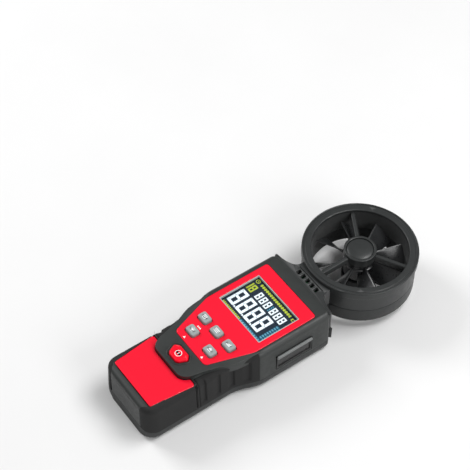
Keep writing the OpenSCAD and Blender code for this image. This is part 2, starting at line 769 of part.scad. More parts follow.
module vane_rear() color([0.16, 0.17, 0.17]) {
    difference() {
        union() {
            translate([0, ring_y, 0]) {
                rotate_extrude($fn = 96) polygon([
                    [duct_r, seam_z], [duct_r + ring_wall, seam_z],
                    [duct_r + ring_wall, ring_low + 3], [ring_side_r - ring_wall, ring_low + 3],
                    [ring_side_r - ring_wall, seam_z], [ring_side_r, seam_z],
                    [ring_side_r, ring_low + 2], [ring_side_r - 0.8, ring_low + 0.6],
                    [ring_side_r - 2.2, ring_low], [duct_r + 1, ring_low],
                    [duct_r, ring_low + 1]]);
                ring_bosses(ring_low + 2.8, seam_z - ring_low - 2.8 - boss_gap, 2);
                spokes(ring_low + 1.1, 3.6);
                translate([0, 0, ring_low + 0.4]) cylinder(r = hub_r, h = rear_hub_h);
            }
            difference() {
                plan(neck_half(), neck_low, seam_z);
                translate([0, ring_y, 0]) cylinder(r = ring_side_r - 0.4, h = face_h);
            }
            difference() {
                neck_tongue();
                slab(seam_z, 2 * face_h);
            }
        }
        neck_passage();
        translate([0, ring_y, 0]) {
            ring_bosses(ring_low - over, ring_h, ring_screw_r + 0.15);
            ring_bosses(ring_low - over, 3 + over, ring_screw_head_r + 0.15);
            translate([0, 0, ring_low]) cylinder(r = cap_r + cap_gap, h = 2.9);
            translate([0, 0, ring_low]) cylinder(r = bearing_r, h = 8);
            // channel for the lead in the spoke that points at the body
            rotate([0, 0, 270]) translate([0, -0.8, ring_low + 2.2]) cube([ring_r, 1.6, 1.6]);
        }
    }
}

module hub_cap() color([0.26, 0.28, 0.28]) {
    translate([0, ring_y, 0]) rotate_extrude() polygon(concat(
        [[0, cap_z], [cap_r, cap_z]],
        [for (a = [0 : 10 : 90]) [cap_r * cos(a), cap_z + 1.3 + 1.3 * sin(a)]]));
}

module rear_cap() color([0.16, 0.17, 0.17]) {
    translate([0, ring_y, ring_low + 0.5]) cylinder(r = cap_r, h = 1);
}

module pickup_board() color([0.1, 0.35, 0.2]) {
    translate([0, ring_y, ring_low + 1.7]) difference() {
        cylinder(r = cap_r - 0.3, h = 1);
        translate([0, 0, -over]) cylinder(r = bearing_r, h = 1 + 2 * over);
    }
}

module vane_lead() color([0.6, 0.1, 0.1]) {
    lead_z = ring_low + 3;
    lead_r = 0.6;
    neck_y = y_top + 4;
    translate([0, ring_y - cap_r - 1, lead_z]) rotate([90, 0, 0])
        cylinder(r = lead_r, h = ring_y - cap_r - 1 - neck_y, $fn = 16);
    translate([0, neck_y, lead_z]) cylinder(r = lead_r, h = seam_z - lead_z, $fn = 16);
    translate([0, neck_y, seam_z]) rotate([90, 0, 0])
        cylinder(r = lead_r, h = tongue_l + 9, $fn = 16);
    translate([0, neck_y, lead_z]) sphere(r = lead_r, $fn = 16);
    translate([0, neck_y, seam_z]) sphere(r = lead_r, $fn = 16);
}

module bearing(z) color([0.8, 0.65, 0.3]) {
    translate([0, ring_y, z]) difference() {
        cylinder(r = bearing_r, h = bearing_l);
        translate([0, 0, -over]) cylinder(r = shaft_d / 2 + shaft_gap, h = bearing_l + 2 * over);
    }
}

module front_bearing() { bearing(hub_z); }
module rear_bearing() { bearing(rear_hub_top - bearing_l); }

module impeller() color([0.14, 0.15, 0.15]) {
    translate([0, ring_y, 0]) difference() {
        union() {
            translate([0, 0, rotor_low]) cylinder(r = rotor_hub_r, h = rotor_top - rotor_low);
            for (i = [0 : blades - 1]) rotate([0, 0, blade_phase + i * 360 / blades])
                translate([0, 0, blade_z])
                    linear_extrude(blade_h, twist = -blade_sweep, slices = 6, $fn = 4)
                        translate([rotor_hub_r - 1, -blade_t / 2])
                            square([tip_r - rotor_hub_r + 1, blade_t]);
        }
        translate([0, 0, rotor_low - over]) cylinder(r = shaft_d / 2, h = ring_h);
        magnet_places() cylinder(r = magnet_r, h = magnet_l + over, $fn = 24);
    }
}

module magnet_places() {
    for (a = [0, 180]) rotate([0, 0, a]) translate([magnet_at, 0, rotor_low - over]) children();
}

module hub_magnets() color([0.6, 0.6, 0.62]) {
    translate([0, ring_y, 0]) magnet_places()
        translate([0, 0, over]) cylinder(r = magnet_r, h = magnet_l, $fn = 24);
}

module impeller_shaft() color([0.8, 0.8, 0.82]) {
    low = rear_hub_top - bearing_l + 0.3;
    translate([0, ring_y, low]) cylinder(r = shaft_d / 2, h = hub_z + bearing_l - 0.6 - low);
}

// ---- battery bay, fasteners and mounts ----

module battery_cover() color([0.2, 0.22, 0.22]) {
    difference() {
        intersection() {
            union() {
                translate([-cover_w / 2, y0, cover_z]) cube([cover_w, cover_l, cover_t]);
                translate([-cover_w / 2 - tongue, y0, cover_z + cover_t - tongue_t])
                    cube([cover_w + 2 * tongue, cover_l, tongue_t]);
            }
            plan([[half_w(0) - 2, 0], [half_w(1) - 2, 1], [half_w(3) - 2, 3], [cover_w, end_r],
                [cover_w, cover_l]], 0, part_h);
        }
        // finger grooves
        for (i = [0 : 3])
            translate([-7, y0 + 8 + i * 2, -over]) cube([14, 1, cover_z + 0.5 + over]);
    }
}

module cell(i) color([0.2, 0.35, 0.3]) {
    r = cell_d / 2;
    flip = i == 0 ? -1 : 1;
    middle = y0 + bay_y + bay_l / 2;
    translate([i * (cell_d + cell_gap), middle, bay_z + r + cell_gap]) rotate([-90 * flip, 0, 0]) {
        translate([0, 0, -cell_l / 2]) cylinder(r = r, h = cell_l - 0.9);
        translate([0, 0, cell_l / 2 - 0.9]) cylinder(r = 1.9, h = 0.9);
    }
}

module cell_left() { cell(-1); }
module cell_middle() { cell(0); }
module cell_right() { cell(1); }

// A spring at the flat end of each cell, and a plate behind its cap
module cell_contacts(spring) {
    for (i = [-1 : 1]) {
        flip = i == 0 ? -1 : 1;
        side = spring ? -flip : flip;
        middle = y0 + bay_y + bay_l / 2;
        translate([i * (cell_d + cell_gap), middle, bay_z + cell_d / 2 + cell_gap])
            rotate([-90 * side, 0, 0]) children();
    }
}

module cell_springs() color([0.8, 0.8, 0.8]) {
    gap = (bay_l - cell_l) / 2;
    cell_contacts(true) translate([0, 0, cell_l / 2]) {
        translate([0, 0, gap - 0.4]) cylinder(r = 4, h = 0.4);
        cylinder(r1 = 1.6, r2 = 3.4, h = gap - 0.4);
    }
}

module cell_plates() color([0.8, 0.8, 0.8]) {
    gap = (bay_l - cell_l) / 2;
    cell_contacts(false) translate([0, 0, cell_l / 2]) {
        translate([0, 0, gap - 0.4]) cylinder(r = 4, h = 0.4);
        cylinder(r = 1.5, h = gap - 0.4);
    }
}

module case_screws() color([0.7, 0.7, 0.72]) {
    case_screw_places() difference() {
        union() {
            cylinder(r = screw_r, h = screw_l);
            translate([0, 0, -screw_head_h + 0.3]) cylinder(r = screw_head_r, h = screw_head_h - 0.3);
        }
        for (a = [0, 90]) rotate([0, 0, a])
            translate([-1.5, -0.3, -screw_head_h - over]) cube([3, 0.6, 0.9 + over]);
    }
}

module ring_screws() color([0.7, 0.7, 0.72]) {
    translate([0, ring_y, 0]) for (a = [90, 210, 330]) rotate([0, 0, a])
        translate([ring_mid, 0, 0]) {
            translate([0, 0, ring_low + 3]) cylinder(r = ring_screw_r, h = seam_z - ring_low + 4);
            translate([0, 0, ring_low + 1.6]) cylinder(r = ring_screw_head_r, h = 1.4);
        }
}

module tripod_insert() color([0.8, 0.65, 0.3]) {
    translate([0, lcd_y, 0.1]) difference() {
        cylinder(r = tripod_outer_r, h = tripod_l - 0.1);
        translate([0, 0, -over]) cylinder(r = tripod_r, h = tripod_l + 2 * over);
    }
}

front_shell();
rear_shell();
grip_left();
grip_right();
upper_panel();
lower_panel();
display_window();
lcd_panel();
backlight();
contact_strips();
main_board();
keypad_mat();
key_left();
key_middle();
key_right();
key_low_left();
key_low_right();
power_key();
buzzer();
data_port();
port_cover();
climate_sensor();
vane_front();
vane_rear();
hub_cap();
rear_cap();
pickup_board();
vane_lead();
front_bearing();
rear_bearing();
impeller();
impeller_shaft();
hub_magnets();
battery_cover();
cell_left();
cell_middle();
cell_right();
cell_springs();
cell_plates();
case_screws();
ring_screws();
tripod_insert();
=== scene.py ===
"""Looks of a handheld vane anemometer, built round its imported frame.

Lengths are in millimetres until a mesh is handed over as a piece. The meter lies on its
back: +X to the right of its face, +Y towards the vane, +Z out of its face.
"""

import json
import logging
import math
from dataclasses import dataclass
from enum import Enum
from typing import Sequence

import bmesh
import bpy
from mathutils import Matrix, Vector

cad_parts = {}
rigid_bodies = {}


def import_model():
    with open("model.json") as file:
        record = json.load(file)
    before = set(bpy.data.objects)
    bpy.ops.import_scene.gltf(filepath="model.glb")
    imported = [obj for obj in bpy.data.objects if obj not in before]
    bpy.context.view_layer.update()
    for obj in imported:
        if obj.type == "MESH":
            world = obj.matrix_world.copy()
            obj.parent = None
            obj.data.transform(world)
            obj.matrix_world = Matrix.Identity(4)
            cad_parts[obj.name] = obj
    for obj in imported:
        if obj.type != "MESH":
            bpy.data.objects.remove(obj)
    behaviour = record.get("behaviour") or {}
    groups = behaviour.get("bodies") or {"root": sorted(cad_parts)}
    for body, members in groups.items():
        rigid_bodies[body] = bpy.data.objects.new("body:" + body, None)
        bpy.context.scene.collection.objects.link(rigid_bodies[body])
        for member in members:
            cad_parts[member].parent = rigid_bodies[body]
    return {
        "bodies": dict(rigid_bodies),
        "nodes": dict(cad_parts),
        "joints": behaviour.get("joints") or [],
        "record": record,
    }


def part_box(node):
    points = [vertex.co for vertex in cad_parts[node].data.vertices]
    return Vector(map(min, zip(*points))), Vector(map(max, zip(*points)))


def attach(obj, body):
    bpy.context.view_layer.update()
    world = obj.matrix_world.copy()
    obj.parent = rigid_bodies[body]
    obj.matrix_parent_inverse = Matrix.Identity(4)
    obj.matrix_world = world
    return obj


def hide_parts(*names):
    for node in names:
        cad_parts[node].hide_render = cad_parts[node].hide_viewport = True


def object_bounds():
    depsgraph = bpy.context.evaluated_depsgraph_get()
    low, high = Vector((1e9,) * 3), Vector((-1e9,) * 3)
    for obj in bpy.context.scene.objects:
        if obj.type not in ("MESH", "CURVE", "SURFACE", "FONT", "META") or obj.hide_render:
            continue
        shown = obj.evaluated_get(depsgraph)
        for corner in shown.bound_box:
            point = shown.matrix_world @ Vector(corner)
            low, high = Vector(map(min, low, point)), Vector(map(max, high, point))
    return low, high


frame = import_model()
CAD_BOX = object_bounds()

MM = 0.001
log = logging.getLogger("meter")

Point2 = tuple[float, float]
Point3 = tuple[float, float, float]
Loop2 = list[Point2]
Colour = tuple[int, int, int]
Mesh = bmesh.types.BMesh


# ---- measuring and drawing ----


def low_corner(node: str) -> Vector:
    """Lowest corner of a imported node, in millimetres."""
    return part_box(node)[0] / MM


def high_corner(node: str) -> Vector:
    """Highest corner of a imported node, in millimetres."""
    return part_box(node)[1] / MM


def middle(node: str) -> Vector:
    """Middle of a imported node's box, in millimetres."""
    return (low_corner(node) + high_corner(node)) / 2


def smooth(t: float) -> float:
    """Eases from 0 to 1 as t does."""
    u = min(1.0, max(0.0, t))
    return u * u * (3 - 2 * u)


def ramp(y: float, start: float, end: float) -> float:
    """Eases from 0 at start to 1 at end."""
    return smooth((y - start) / (end - start))


def arc(centre: Point2, radius: float, start: float, end: float, steps: int) -> Loop2:
    """Points of an arc.

    Args:
        centre: the arc's centre.
        radius: its radius.
        start: first angle in degrees.
        end: last angle in degrees.
        steps: number of chords.

    Returns:
        The points in order, both ends included.
    """
    angles = [math.radians(start + (end - start) * k / steps) for k in range(steps + 1)]
    return [(centre[0] + radius * math.cos(a), centre[1] + radius * math.sin(a)) for a in angles]


def rectangle(size: Point2, radius: float, centre: Point2 = (0.0, 0.0), steps: int = 5) -> Loop2:
    """Outline of a rectangle with round corners, anticlockwise.

    Args:
        size: width and height.
        radius: corner radius.
        centre: where its middle is.
        steps: chords in each corner.

    Returns:
        The outline.
    """
    w, h = size[0] / 2 - radius, size[1] / 2 - radius
    corners = [((w, h), 0), ((-w, h), 90), ((-w, -h), 180), ((w, -h), 270)]
    return [
        (centre[0] + p[0], centre[1] + p[1])
        for corner, turn in corners
        for p in arc(corner, radius, turn, turn + 90, steps)
    ]


def both_sides(half: Loop2) -> Loop2:
    """Closes a right half, given from bottom to top, with its mirror image."""
    return half + [(-x, y) for x, y in reversed(half)]


def area(outline: Loop2) -> float:
    """Signed area of a closed outline; anticlockwise is positive."""
    pairs = zip(outline, outline[1:] + outline[:1])
    return sum(a[0] * b[1] - b[0] * a[1] for a, b in pairs) / 2


def inset(outline: Loop2, distance: float) -> Loop2:
    """Moves a closed anticlockwise outline inwards.

    Args:
        outline: the points.
        distance: how far inwards; outwards if negative.

    Returns:
        As many points as before.
    """
    moved = []
    for before, here, after in zip(outline[-1:] + outline[:-1], outline, outline[1:] + outline[:1]):
        a = (Vector(here) - Vector(before)).normalized()
        b = (Vector(after) - Vector(here)).normalized()
        turn = Vector((-a.y - b.y, a.x + b.x))
        turn = turn / max(0.6, turn.length_squared / 2)
        moved.append((here[0] + turn.x * distance, here[1] + turn.y * distance))
    return moved


def rounded(outline: Loop2, radius: float, steps: int = 4) -> Loop2:
    """Rounds each corner of a closed outline as far as its sides allow.

    Args:
        outline: the corners.
        radius: the radius wanted.
        steps: chords in each corner.

    Returns:
        The outline with arcs in place of its corners.
    """
    result: Loop2 = []
    for before, here, after in zip(outline[-1:] + outline[:-1], outline, outline[1:] + outline[:1]):
        p, a, b = Vector(here), Vector(before) - Vector(here), Vector(after) - Vector(here)
        angle = a.angle(b, math.pi)
        if math.pi - angle < math.radians(3):
            result.append(here)
            continue
        reach = min(radius / math.tan(angle / 2), 0.45 * a.length, 0.45 * b.length)
        start, end = p + a.normalized() * reach, p + b.normalized() * reach
        for k in range(steps + 1):
            t = k / steps
            q = start * (1 - t) ** 2 + p * 2 * t * (1 - t) + end * t**2
            result.append((q.x, q.y))
    return result


def curve_through(points: Sequence[Point2], steps: int) -> Loop2:
    """A smooth curve through some points.

    Args:
        points: what it passes through.
        steps: chords between each two of them.

    Returns:
        The curve's points.
    """
    result: Loop2 = []
    last = len(points) - 1
    for i in range(last):
        a, b, c, d = (Vector(points[k]) for k in (max(i - 1, 0), i, i + 1, min(i + 2, last)))
        for k in range(steps):
            t = k / steps
            q = 2 * b + (c - a) * t + (2 * a - 5 * b + 4 * c - d) * t**2
            q = (q + (3 * b - a - 3 * c + d) * t**3) / 2
            result.append((q.x, q.y))
    return result + [tuple(points[last])]


# ---- meshes ----


def skin(rings: Sequence[Sequence[Point3]], round_trip: bool = False, capped: bool = True) -> Mesh:
    """A surface over rings of points.

    Args:
        rings: closed rings with as many points each.
        round_trip: the last ring joins the first.
        capped: the two ends are closed.

    Returns:
        A mesh whose faces point outwards if it is closed.
    """
    bm = bmesh.new()
    rows = [[bm.verts.new(p) for p in ring] for ring in rings]
    pairs = list(zip(rows, rows[1:])) + ([(rows[-1], rows[0])] if round_trip else [])
    n = len(rows[0])
    for a, b in pairs:
        for j in range(n):
            k = (j + 1) % n
            bm.faces.new((a[j], a[k], b[k], b[j]))
    if capped and not round_trip:
        bm.faces.new(rows[0][::-1])
        bm.faces.new(rows[-1])
    return tidy(bm)


def tidy(bm: Mesh) -> Mesh:
    """Merges doubles and turns the faces outwards."""
    bmesh.ops.remove_doubles(bm, verts=bm.verts, dist=1e-4)
    bmesh.ops.recalc_face_normals(bm, faces=bm.faces)
    return bm


def plate(
    outline: Loop2,
    low: float,
    high: float,
    holes: Sequence[Loop2] = (),
    edge: float = 0.3,
    foot: float = 0.0,
    dome: float = 0.0,
    steps: int = 3,
) -> Mesh:
    """A flat piece with rounded edges.

    Args:
        outline: its outline, seen from above.
        low: height of its underside.
        high: height of its top.
        holes: outlines of holes through it.
        edge: radius of the top edges.
        foot: radius of the bottom edges.
        dome: how far the top swells; for a piece without holes.
        steps: chords in each rounded edge.

    Returns:
        A closed mesh.
    """
    turns = [math.pi / 2 * k / steps for k in range(steps + 1)]
    levels = [(0.0, low)]
    if foot:
        levels = [(foot * (1 - math.cos(a)), low + foot * (1 - math.sin(a))) for a in turns[::-1]]
    rise = high - dome
    if edge:
        levels += [(edge * (1 - math.cos(a)), rise - edge + edge * math.sin(a)) for a in turns]
    else:
        levels += [(0.0, rise)]
    if dome:
        span = min(max(abs(x) for x, _ in outline), max(abs(y) for _, y in outline)) - edge
        shares = (0.2, 0.4, 0.6, 0.8)
        levels += [(edge + span * s, rise + dome * (1 - (1 - s) ** 2)) for s in shares]
    bm = bmesh.new()
    first, last = [], []
    for sign, loop in [(1, outline)] + [(-1, hole) for hole in holes]:
        loop = loop if area(loop) > 0 else loop[::-1]
        rows = [[bm.verts.new((x, y, z)) for x, y in inset(loop, sign * d)] for d, z in levels]
        for a, b in zip(rows, rows[1:]):
            for j in range(len(loop)):
                k = (j + 1) % len(loop)
                bm.faces.new((a[j], a[k], b[k], b[j]))
        first += [bm.edges.get((rows[0][j - 1], rows[0][j])) for j in range(len(loop))]
        last += [bm.edges.get((rows[-1][j - 1], rows[-1][j])) for j in range(len(loop))]
    for edges in (first, last):
        bmesh.ops.triangle_fill(bm, use_beauty=True, use_dissolve=False, edges=edges)
    return tidy(bm)


def printed(outline: Loop2, ink: float, *holes: Loop2) -> Mesh:
    """A printed shape: a thin plate on the height 0, as thick as its ink."""
    return plate(outline, 0, ink, holes, edge=0)




def lathe(profile: Sequence[Point2], segments: int = 96, ring: bool = True) -> Mesh:
    """Turns a profile of (radius, height) points round the Z axis.

    Args:
        profile: the points, closed by themselves for a ring, or from axis to axis.
        segments: how many steps make the turn.
        ring: the profile is a closed loop clear of the axis.

    Returns:
        A closed mesh.
    """
    turns = [math.tau * k / segments for k in range(segments)]
    rings = [[(r * math.cos(a), r * math.sin(a), z) for a in turns] for r, z in profile]
    return skin(rings, round_trip=ring, capped=False)


def moved(bm: Mesh, place: Matrix | Point3) -> Mesh:
    """Moves a mesh by a matrix or to a place."""
    bm.transform(place if isinstance(place, Matrix) else Matrix.Translation(place))
    return bm


def joined(meshes: Sequence[Mesh]) -> Mesh:
    """Puts several meshes together in one."""
    whole = bmesh.new()
    for bm in meshes:
        part = bpy.data.meshes.new("part")
        bm.to_mesh(part)
        whole.from_mesh(part)
        bpy.data.meshes.remove(part)
        bm.free()
    return whole


def packed_copy(node: str, edge: float, sharper_than: float = 38.0) -> Mesh:
    """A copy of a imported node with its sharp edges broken.

    Args:
        node: the node's name.
        edge: width of the broken edges.
        sharper_than: edges that turn more than this many degrees are broken.

    Returns:
        The mesh, in millimetres.
    """
    bm = bmesh.new()
    bm.from_mesh(frame["nodes"][node].data)
    bm.transform(Matrix.Scale(1 / MM, 4))
    bmesh.ops.remove_doubles(bm, verts=bm.verts, dist=0.003)
    bmesh.ops.dissolve_limit(bm, angle_limit=math.radians(0.6), verts=bm.verts, edges=bm.edges)
    if edge:
        limit = math.radians(sharper_than)
        sharp = [e for e in bm.edges if e.is_manifold and e.calc_face_angle(0) > limit]
        bmesh.ops.bevel(
            bm, geom=sharp, offset=edge, offset_type="OFFSET", segments=2, profile=0.5,
            affect="EDGES", clamp_overlap=False, harden_normals=False,
        )
    return bm


# ---- repeating trees ----


class TreeBuilder:
    """Builds the two trees of nodes that set out repeated items."""

    def __init__(self, name: str) -> None:
        """Starts an empty tree."""
        self.tree = bpy.data.node_groups.new(name, "GeometryNodeTree")
        self.ids: dict[str, str] = {}
        self.sockets: dict[str, bpy.types.NodeSocket] = {}

    def inputs(self, kinds: dict[str, str]) -> None:
        """Names the tree's inputs, by kind of socket."""
        for name, kind in kinds.items():
            socket = self.tree.interface.new_socket(name=name, in_out="INPUT", socket_type=kind)
            self.ids[name] = socket.identifier
        self.tree.interface.new_socket(name="Geometry", in_out="OUTPUT", socket_type="NodeSocketGeometry")
        entry = self.tree.nodes.new("NodeGroupInput")
        self.sockets = {name: entry.outputs[name] for name in kinds}

    def node(
        self, kind: str, links: dict[int | str, bpy.types.NodeSocket], **settings: object
    ) -> bpy.types.Node:
        """Adds a node.

        Args:
            kind: its type.
            links: what feeds each of its inputs.
            settings: its own options.

        Returns:
            The node.
        """
        node = self.tree.nodes.new(kind)
        for key, value in settings.items():
            setattr(node, key, value)
        for key, source in links.items():
            self.tree.links.new(source, node.inputs[key])
        return node

    def close(self, instances: bpy.types.NodeSocket) -> None:
        """Ends the tree with real geometry in the chosen material."""
        real = self.node("GeometryNodeRealizeInstances", {0: instances})
        dressed = self.node("GeometryNodeSetMaterial", {
            "Geometry": real.outputs[0], "Material": self.sockets["Material"]})
        self.node("NodeGroupOutput", {0: dressed.outputs[0]})

    def run(self, item: Mesh, material: bpy.types.Material, values: dict[str, object]) -> Mesh:
        """Runs the tree on a mesh.

        Args:
            item: what the tree starts from.
            material: the material it sets.
            values: its inputs by name.

        Returns:
            The result as a plain mesh.
        """
        data = bpy.data.meshes.new("item")
        item.to_mesh(data)
        item.free()
        host = bpy.data.objects.new("item", data)
        bpy.context.scene.collection.objects.link(host)
        modifier = host.modifiers.new("repeat", "NODES")
        modifier.node_group = self.tree
        for name, value in {**values, "Material": material}.items():
            modifier[self.ids[name]] = value
        depsgraph = bpy.context.evaluated_depsgraph_get()
        made = bpy.data.meshes.new_from_object(host.evaluated_get(depsgraph), depsgraph=depsgraph)
        host.modifiers.remove(modifier)
        result = bmesh.new()
        result.from_mesh(made)
        bpy.data.objects.remove(host)
        bpy.data.meshes.remove(made)
        bpy.data.meshes.remove(data)
        return result


class RepeatTree(TreeBuilder):
    """Sets out copies of an item in a row, round an axis, or both."""

    def __init__(self) -> None:
        """Builds the tree."""
        super().__init__("repeat_item")
        self.inputs({
            "Geometry": "NodeSocketGeometry",
            "Count": "NodeSocketInt",
            "Start": "NodeSocketVector",
            "Step": "NodeSocketVector",
            "First Turn": "NodeSocketFloat",
            "Turn": "NodeSocketFloat",
            "Material": "NodeSocketMaterial",
        })
        s = self.sockets
        index = self.node("GeometryNodeInputIndex", {}).outputs[0]
        shift = {0: index, 1: s["Step"], 2: s["Start"]}
        place = self.node("ShaderNodeVectorMath", shift, operation="MULTIPLY_ADD")
        points = self.node("GeometryNodePoints", {"Count": s["Count"], "Position": place.outputs[0]})
        swing = {0: index, 1: s["Turn"], 2: s["First Turn"]}
        turn = self.node("ShaderNodeMath", swing, operation="MULTIPLY_ADD")
        axis = self.node("ShaderNodeCombineXYZ", {2: turn.outputs[0]})
        copies = self.node("GeometryNodeInstanceOnPoints", {
            "Points": points.outputs[0], "Instance": s["Geometry"], "Rotation": axis.outputs[0]})
        self.close(copies.outputs[0])

    def make(
        self,
        item: Mesh,
        count: int,
        material: bpy.types.Material,
        start: Point3 = (0.0, 0.0, 0.0),
        step: Point3 = (0.0, 0.0, 0.0),
        first_turn: float = 0.0,
        turn: float = 0.0,
    ) -> Mesh:
        """Repeats an item.

        Args:
            item: the item, about its own origin.
            count: how many.
            material: what it is dressed in.
            start: place of the first.
            step: from each one to the next.
            first_turn: turn of the first, in degrees.
            turn: turn from each one to the next, in degrees.

        Returns:
            All copies in one mesh.
        """
        return self.run(item, material, {
            "Count": count, "Start": start, "Step": step,
            "First Turn": math.radians(first_turn), "Turn": math.radians(turn)})


class PathTree(TreeBuilder):
    """Sets out copies of an item evenly along a path."""

    def __init__(self) -> None:
        """Builds the tree."""
        super().__init__("item_along_path")
        self.inputs({
            "Geometry": "NodeSocketGeometry",
            "Item": "NodeSocketObject",
            "Count": "NodeSocketInt",
            "Material": "NodeSocketMaterial",
        })
        s = self.sockets
        path = self.node("GeometryNodeMeshToCurve", {0: s["Geometry"]})
        points = self.node(
            "GeometryNodeCurveToPoints", {"Curve": path.outputs[0], "Count": s["Count"]}, mode="COUNT")
        item = self.node("GeometryNodeObjectInfo", {"Object": s["Item"]})
        copies = self.node("GeometryNodeInstanceOnPoints", {
            "Points": points.outputs["Points"], "Instance": item.outputs["Geometry"]})
        self.close(copies.outputs[0])

    def make(self, item: Mesh, path: Sequence[Point3], count: int, material: bpy.types.Material) -> Mesh:
        """Sets an item out along a path.

        Args:
            item: the item, about its own origin.
            path: the path's points.
            count: how many.
            material: what it is dressed in.

        Returns:
            All copies in one mesh.
        """
        data = bpy.data.meshes.new("path_item")
        item.to_mesh(data)
        item.free()
        source = bpy.data.objects.new("path_item", data)
        bpy.context.scene.collection.objects.link(source)
        line = bmesh.new()
        verts = [line.verts.new(p) for p in path]
        for a, b in zip(verts, verts[1:]):
            line.edges.new((a, b))
        made = self.run(line, material, {"Item": source, "Count": count})
        bpy.data.objects.remove(source)
        bpy.data.meshes.remove(data)
        return made


# ---- finishes ----


def linear(colour: Colour, share: float = 1.0) -> tuple[float, float, float, float]:
    """A shader colour from an ordinary one, made lighter or darker by share."""
    parts = [c / 255 for c in colour]
    parts = [c / 12.92 if c <= 0.04045 else ((c + 0.055) / 1.055) ** 2.4 for c in parts]
    return tuple(min(1.0, c * share) for c in parts) + (1.0,)


@dataclass(frozen=True)
class Finish:
    """A solid finish: mottled colour, fine surface grain and worn edges.

    grain is the size of the grain and mottle that of the colour's patches, in millimetres.
    """

    name: str
    colour: Colour
    roughness: float = 0.5
    grain: float = 0.35
    depth: float = 0.1
    mottle: float = 14.0
    spread: float = 0.06
    wear: float = 0.25
    metal: float = 0.0
    coat: float = 0.0
    sheen: float = 0.0
    gloss: float = 0.5
    glow: float = 0.0

    def build(self) -> bpy.types.Material:
        """Builds the material, once for each name."""
        made = bpy.data.materials.get(self.name)
        if made:
            return made
        made = bpy.data.materials.new(self.name)
        made.use_nodes = True
        made.diffuse_color = linear(self.colour)
        tree = made.node_tree
        shader = tree.nodes["Principled BSDF"]
        for socket, value in {
            "Metallic": self.metal,
            "Coat Weight": self.coat,
            "Coat Roughness": 0.12,
            "Sheen Weight": self.sheen,
            "Specular IOR Level": self.gloss,
            "Emission Color": linear(self.colour),
            "Emission Strength": self.glow,
        }.items():
            shader.inputs[socket].default_value = value
        place = tree.nodes.new("ShaderNodeTexCoord").outputs["Object"]

        def noise(size: float, detail: float) -> bpy.types.NodeSocket:
            """Noise with features of a size in millimetres."""
            node = tree.nodes.new("ShaderNodeTexNoise")
            tree.links.new(place, node.inputs["Vector"])
            node.inputs["Scale"].default_value = 1 / (size * MM)
            node.inputs["Detail"].default_value = detail
            return node.outputs["Fac"]

        def span(source: bpy.types.NodeSocket, ends: Sequence[float]) -> bpy.types.NodeSocket:
            """Maps a value from the first two ends to the last two."""
            node = tree.nodes.new("ShaderNodeMapRange")
            tree.links.new(source, node.inputs["Value"])
            for k, end in enumerate(ends):
                node.inputs[k + 1].default_value = end
            return node.outputs["Result"]

        def mix(share: bpy.types.NodeSocket, a: object, b: object) -> bpy.types.NodeSocket:
            """Mixes two colours, each a value or a socket."""
            node = tree.nodes.new("ShaderNodeMix")
            node.data_type = "RGBA"
            tree.links.new(share, node.inputs[0])
            for socket, source in ((node.inputs[6], a), (node.inputs[7], b)):
                if isinstance(source, bpy.types.NodeSocket):
                    tree.links.new(source, socket)
                else:
                    socket.default_value = source
            return node.outputs[2]

        patches = span(noise(self.mottle, 3), (0.3, 0.7, 0, 1))
        darker, lighter = linear(self.colour, 1 - self.spread), linear(self.colour, 1 + self.spread)
        colour = mix(patches, darker, lighter)
        if self.wear:
            edges = tree.nodes.new("ShaderNodeNewGeometry").outputs["Pointiness"]
            worn = span(edges, (0.53, 0.62, 0, self.wear))
            pale = tuple(0.55 * c + 0.45 * 0.5 for c in linear(self.colour)[:3]) + (1.0,)
            colour = mix(worn, colour, pale)
        tree.links.new(colour, shader.inputs["Base Color"])
        scuffs = span(noise(self.mottle / 5, 4), (0.3, 0.7, self.roughness - 0.05, self.roughness + 0.06))
        tree.links.new(scuffs, shader.inputs["Roughness"])
        bump = tree.nodes.new("ShaderNodeBump")
        bump.inputs["Strength"].default_value = self.depth
        bump.inputs["Distance"].default_value = self.grain * MM * 0.5
        tree.links.new(noise(self.grain, 2), bump.inputs["Height"])
        tree.links.new(bump.outputs["Normal"], shader.inputs["Normal"])
        return made


@dataclass(frozen=True)
class ClearFinish:
    """Clear acrylic: its outer faces reflect the lamps and its inner ones only let light through."""

    name: str
    tint: Colour
    roughness: float = 0.04

    def build(self) -> bpy.types.Material:
        """Builds the material."""
        made = bpy.data.materials.new(self.name)
        made.use_nodes = True
        tree = made.node_tree
        glossy = tree.nodes["Principled BSDF"]
        glossy.inputs["Base Color"].default_value = linear((20, 22, 26))
        glossy.inputs["Roughness"].default_value = self.roughness
        clear = tree.nodes.new("ShaderNodeBsdfTransparent")
        clear.inputs["Color"].default_value = linear(self.tint)
        fresnel = tree.nodes.new("ShaderNodeFresnel")
        fresnel.inputs["IOR"].default_value = 1.42
        share = tree.nodes.new("ShaderNodeMath")
        share.operation, share.use_clamp = "SUBTRACT", True
        tree.links.new(fresnel.outputs[0], share.inputs[0])
        tree.links.new(tree.nodes.new("ShaderNodeNewGeometry").outputs["Backfacing"], share.inputs[1])
        blend = tree.nodes.new("ShaderNodeMixShader")
        tree.links.new(share.outputs[0], blend.inputs[0])
        tree.links.new(clear.outputs[0], blend.inputs[1])
        tree.links.new(glossy.outputs[0], blend.inputs[2])
        tree.links.new(blend.outputs[0], tree.nodes["Material Output"].inputs["Surface"])
        return made


